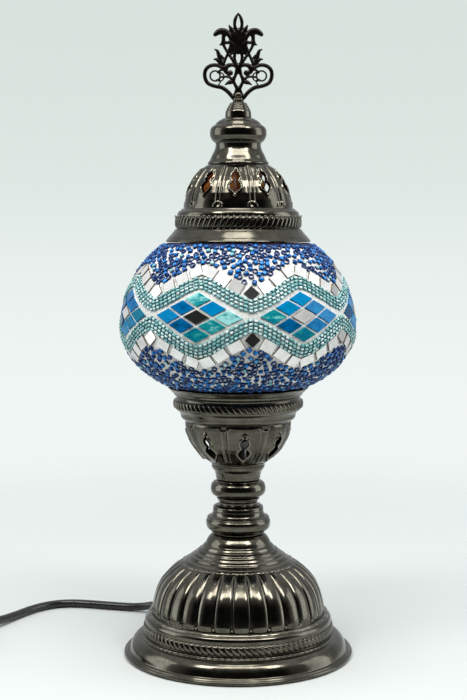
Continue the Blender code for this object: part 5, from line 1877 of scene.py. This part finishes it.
rocker_work = bmesh.new()
ROCKER_HALF_TILT = math.radians(8.0)  # the joint swings from one side of level to the other
V_RISE = 7.0 * math.tan(ROCKER_HALF_TILT)
profile = [
    (-7.0, -2.4), (7.0, -2.4), (7.0, 2.95 + V_RISE), (3.5, 2.85 + V_RISE / 2), (0.0, 3.0),
    (-3.5, 2.85 + V_RISE / 2),
]
profile += [(-7.0, 2.95 + V_RISE)]
sides = [[rocker_work.verts.new(Vector((x, y, z)) * MM) for x, z in profile] for y in (-4.0, 4.0)]
for k in range(len(profile)):
    m = (k + 1) % len(profile)
    rocker_work.faces.new((sides[0][k], sides[0][m], sides[1][m], sides[1][k]))
rocker_work.faces.new(list(reversed(sides[0])))
rocker_work.faces.new(sides[1])
bmesh.ops.recalc_face_normals(rocker_work, faces=rocker_work.faces)
sharp = [e for e in rocker_work.edges if e.calc_face_angle(0) > math.radians(30)]
bmesh.ops.bevel(rocker_work, geom=sharp, offset=0.5 * MM, segments=3, affect="EDGES", profile=0.5)
for x, radius in ((-4.4, 0.5), (4.4, 0.5)):
    bar = Matrix.Translation((x * MM, 0, (2.78 + V_RISE * abs(x) / 7.0) * MM)) @ Matrix.Diagonal((0.7, 3.4, 0.5, 1))
    bmesh.ops.create_icosphere(rocker_work, subdivisions=3, radius=radius * 1.4 * MM, matrix=bar)
rocker_mesh = bpy.data.meshes.new("rocker_key")
rocker_work.to_mesh(rocker_mesh)
rocker_work.free()
rocker_mesh.shade_smooth()
rocker_mesh.set_sharp_from_angle(angle=math.radians(50))
rocker_mesh.transform(SWITCH_PLACE @ Matrix.Translation((0, 0, 12.0 * MM)) @ Matrix.Rotation(ROCKER_HALF_TILT, 4, "Y"))
show("rocker_key", rocker_mesh, "rocker", PVC, ["switch_rocker"])
screw_side = [(0, 10.9), (0.9, 11.2), (1.3, 11.0), (1.5, 10.4), (1.5, 1.0), (0.9, 0.5), (0, 0.4)]
screw = moved(lathe("housing_screw", screw_side, (), 24, screw_thread(0.8, 0.22, 1.2, 9.6), 0.2, 60), 21.0, 6.4)
screw.transform(SWITCH_PLACE)
show("housing_screw", screw, "stand", STEEL, ["switch_screw"])
strip = flat_plate("contact_strip", [rounded_box_plan(11.0, 2.0, 0.6)], 2.3, 3.0, 0.1)
strip.transform(SWITCH_PLACE)
show("contact_strip", strip, "stand", BRASS, ["switch_contact"])

PLUG_REAR = (-264.5 * MM, -12.0 * MM, 7.2 * MM)
PLUG_PLACE = Matrix.Translation(PLUG_REAR) @ Matrix.Rotation(math.pi / 2, 4, "Z")
PLUG_STATIONS = [
    (0.0, 3.4, 3.4), (0.5, 3.7, 3.7), (7.5, 4.6, 4.6), (9.0, 6.2, 5.4), (12.0, 9.2, 6.2), (16.0, 12.8, 6.7),
]
PLUG_STATIONS += [(20.0, 15.6, 6.9), (24.0, 17.1, 6.9), (28.0, 17.5, 6.9), (34.6, 17.4, 6.85), (35.6, 16.9, 6.4)]
PLUG_STATIONS += [(36.0, 16.0, 5.7)]


def plug_mesh():
    """The moulded plug: a ringed tail that grips the lead, swelling into a flat oval body with a grip."""
    stations = dense(PLUG_STATIONS, 0.6)
    work = bmesh.new()
    rings, sides = [], 56
    for x, wide, tall in stations:
        if 0.8 < x < 8.0:
            notch = 0.55 * max(0.0, math.sin(TAU * (x - 0.8) / 1.8)) ** 0.8
            wide, tall = wide - notch, tall - notch
        grip = 0.45 * max(0.0, math.sin(TAU * (x - 20.0) / 2.2)) if 20.0 < x < 31.0 else 0.0
        power = 2.0 + 1.3 * min(1.0, max(0.0, (x - 8.0) / 12.0))
        ring = []
        for k in range(sides):
            turn = TAU * k / sides
            c, s = math.cos(turn), math.sin(turn)
            y = wide * math.copysign(abs(c) ** (2 / power), c)
            z = tall * math.copysign(abs(s) ** (2 / power), s)
            edge = smoothstep(0.72, 0.95, abs(c))
            y -= math.copysign(grip * float(edge), c)
            ring.append(work.verts.new(Vector((x, y, z)) * MM))
        rings.append(ring)
    for a, b in zip(rings, rings[1:]):
        for k in range(sides):
            m = (k + 1) % sides
            work.faces.new((a[k], b[k], b[m], a[m]))
    work.faces.new(rings[0])
    work.faces.new(list(reversed(rings[-1])))
    bmesh.ops.recalc_face_normals(work, faces=work.faces)
    mesh = bpy.data.meshes.new("plug_moulding")
    work.to_mesh(mesh)
    work.free()
    mesh.shade_smooth()
    mesh.set_sharp_from_angle(angle=math.radians(50))
    mesh.transform(PLUG_PLACE)
    return mesh


show("plug_moulding", plug_mesh(), "stand", PVC, ["plug_body"])
for side, y in (("left", 9.3), ("right", -9.3)):
    pin_side = [(0, 19.0), (0.9, 18.9), (1.6, 18.3), (1.85, 17.4), (1.85, 10.6), (1.95, 10.3), (2.0, 10.0), (2.0, 0.5)]
    pin_side += [(2.0, -1.0), (0, -1.0)]
    pin = lathe("plug_prong_" + side, pin_side, (), 32, None, 0.8, 40)
    for face in pin.polygons:
        if face.center.z < 10.3 * MM:
            face.material_index = 1
    pin.transform(PLUG_PLACE @ Matrix.Translation((36.0 * MM, y * MM, 0)) @ Matrix.Rotation(math.pi / 2, 4, "Y"))
    show("plug_prong_" + side, pin, "stand", [STEEL, PVC], ["plug_pin_" + side])

# The band that holds the coil together.
BAND_BEARING = math.radians(78.0)
band_loop = rounded_box_plan(10.4, 5.0, 1.6, 6)
band_work = bmesh.new()
BAND_HALF, BAND_THICK = 2.6, 0.4
band_rows = []
for i in range(9):
    across = -BAND_HALF + 2 * BAND_HALF * i / 8
    swell = 0.15 * (1 - (across / BAND_HALF) ** 2)
    band_rows.append((across, swell))
outer = [[(x * (1 + s / 10.0), z, a) for x, z in band_loop] for a, s in band_rows]
inner_loop = rounded_box_plan(10.4 - BAND_THICK, 5.0 - BAND_THICK, 1.2, 6)
inner = [[(x, z, a) for x, z in inner_loop] for a, _ in reversed(band_rows)]
band_grid = [[band_work.verts.new(Vector((x, a, z + 5.15)) * MM) for x, z, a in row] for row in outer + inner]
for row in range(len(band_grid)):
    a, b = band_grid[row], band_grid[(row + 1) % len(band_grid)]
    for k in range(len(a)):
        m = (k + 1) % len(a)
        band_work.faces.new((a[k], b[k], b[m], a[m]))
bmesh.ops.recalc_face_normals(band_work, faces=band_work.faces)
band_mesh = bpy.data.meshes.new("coil_tie")
band_work.to_mesh(band_mesh)
band_work.free()
band_mesh.shade_smooth()
band_mesh.set_sharp_from_angle(angle=math.radians(50))
band_mesh.transform(
    Matrix.Translation((COIL_CENTRE[0], COIL_CENTRE[1], 0))
    @ Matrix.Rotation(BAND_BEARING, 4, "Z")
    @ Matrix.Translation((26.3 * MM, 0, 0))
)
show("coil_tie", band_mesh, "stand", FELT)


# ---------------------------------------------------------------- stage, light
def floor_material():
    look = Look("pale_floor").set(Roughness=0.8, Base_Color=(0.60, 0.63, 0.62, 1.0), Specular_IOR_Level=0.1)
    spread = look.node("ShaderNodeVectorMath", operation="LENGTH")
    look.link(look.place(), spread.inputs[0])
    fade = look.node("ShaderNodeMapRange", interpolation_type="SMOOTHERSTEP")
    fade.inputs["From Min"].default_value = 0.10
    fade.inputs["From Max"].default_value = 0.80
    look.link(spread.outputs["Value"], fade.inputs["Value"])
    clear = look.node("ShaderNodeBsdfTransparent")
    blend = look.node("ShaderNodeMixShader")
    look.link(fade.outputs["Result"], blend.inputs["Fac"])
    look.link(look.shader.outputs["BSDF"], blend.inputs[1])
    look.link(clear.outputs["BSDF"], blend.inputs[2])
    look.link(blend.outputs["Shader"], look.tree.nodes["Material Output"].inputs["Surface"])
    return look.material


floor_mesh = bpy.data.meshes.new("floor")
floor_work = bmesh.new()
bmesh.ops.create_circle(floor_work, cap_ends=True, segments=96, radius=1.6)
floor_work.to_mesh(floor_mesh)
floor_work.free()
floor_mesh.materials.append(floor_material())
floor = bpy.data.objects.new("floor", floor_mesh)
floor.location.z = -0.0002
scene.collection.objects.link(floor)

def studio_world():
    """What the camera sees behind the lamp, and a separate room that lights it and shows in its metal: dark in
    front, pale at the sides, behind and overhead."""
    world = bpy.data.worlds.new("studio")
    world.use_nodes = True
    tree = world.node_tree
    join = tree.links.new
    backdrop, room = tree.nodes["Background"], tree.nodes.new("ShaderNodeBackground")
    direction = tree.nodes.new("ShaderNodeTexCoord")
    split = tree.nodes.new("ShaderNodeSeparateXYZ")
    join(direction.outputs["Generated"], split.inputs[0])

    def step(source, low, high, bottom, top):
        made = tree.nodes.new("ShaderNodeMapRange")
        made.interpolation_type = "SMOOTHSTEP"
        for key, value in (("From Min", low), ("From Max", high), ("To Min", bottom), ("To Max", top)):
            made.inputs[key].default_value = value
        join(source, made.inputs["Value"])
        return made.outputs["Result"]

    height = step(split.outputs["Z"], -0.14, 0.16, 0.0, 1.0)
    gradient = tree.nodes.new("ShaderNodeValToRGB")
    stops = ((0.0, (0.87, 0.92, 0.905)), (0.35, (0.80, 0.855, 0.835)), (0.6, (0.735, 0.81, 0.775)))
    stops += ((1.0, (0.695, 0.765, 0.73)),)
    elements = gradient.color_ramp.elements
    while len(elements) < len(stops):
        elements.new(0.5)
    for element, (position, colour) in zip(elements, stops):
        element.position, element.color = position, (*colour, 1.0)
    join(height, gradient.inputs["Fac"])
    join(gradient.outputs["Color"], backdrop.inputs["Color"])
    around = step(split.outputs["Y"], -0.7, 0.05, 0.02, ROOM_LIGHT)
    above = step(split.outputs["Z"], 0.45, 0.85, 0.0, CEILING_LIGHT)
    total = tree.nodes.new("ShaderNodeMath")
    total.operation = "ADD"
    join(around, total.inputs[0])
    join(above, total.inputs[1])
    join(total.outputs[0], room.inputs["Strength"])
    room.inputs["Color"].default_value = (0.94, 0.98, 1.0, 1.0)
    rays = tree.nodes.new("ShaderNodeLightPath")
    chosen = tree.nodes.new("ShaderNodeMixShader")
    join(rays.outputs["Is Camera Ray"], chosen.inputs["Fac"])
    join(room.outputs["Background"], chosen.inputs[1])
    join(backdrop.outputs["Background"], chosen.inputs[2])
    join(chosen.outputs["Shader"], tree.nodes["World Output"].inputs["Surface"])
    return world


ROOM_LIGHT, CEILING_LIGHT = 0.5, 0.35
scene.world = studio_world()


def softbox(name, place, aim, width, height, power, colour=(1.0, 0.98, 0.95)):
    data = bpy.data.lights.new(name, "AREA")
    data.shape = "RECTANGLE"
    data.size, data.size_y = width, height
    data.energy = power
    data.color = colour
    lamp = bpy.data.objects.new(name, data)
    lamp.location = place
    lamp.rotation_euler = (Vector(aim) - Vector(place)).to_track_quat("-Z", "Y").to_euler()
    lamp.visible_camera = False
    scene.collection.objects.link(lamp)
    return lamp


CENTRE = (0.0, 0.0, 0.17)
softbox("overhead", (0.0, -0.12, 1.3), (0, 0, 0.1), 0.5, 0.4, 3.6)
softbox("bar_middle", (0.0, -0.62, 1.22), CENTRE, 0.9, 0.28, 6.5)
softbox("bar_left", (-0.64, -0.60, 1.2), CENTRE, 0.34, 0.4, 6.2)
softbox("bar_right", (0.66, -0.60, 1.2), CENTRE, 0.34, 0.4, 6.2)
softbox("side_left", (-1.4, 0.1, 0.5), CENTRE, 0.8, 1.2, 6.0, (0.93, 0.98, 1.0))
softbox("side_right", (1.4, 0.1, 0.5), CENTRE, 0.8, 1.2, 6.0, (0.93, 0.98, 1.0))

scene.view_settings.view_transform = "Standard"
scene.view_settings.look = "None"
scene.view_settings.exposure = 0.0
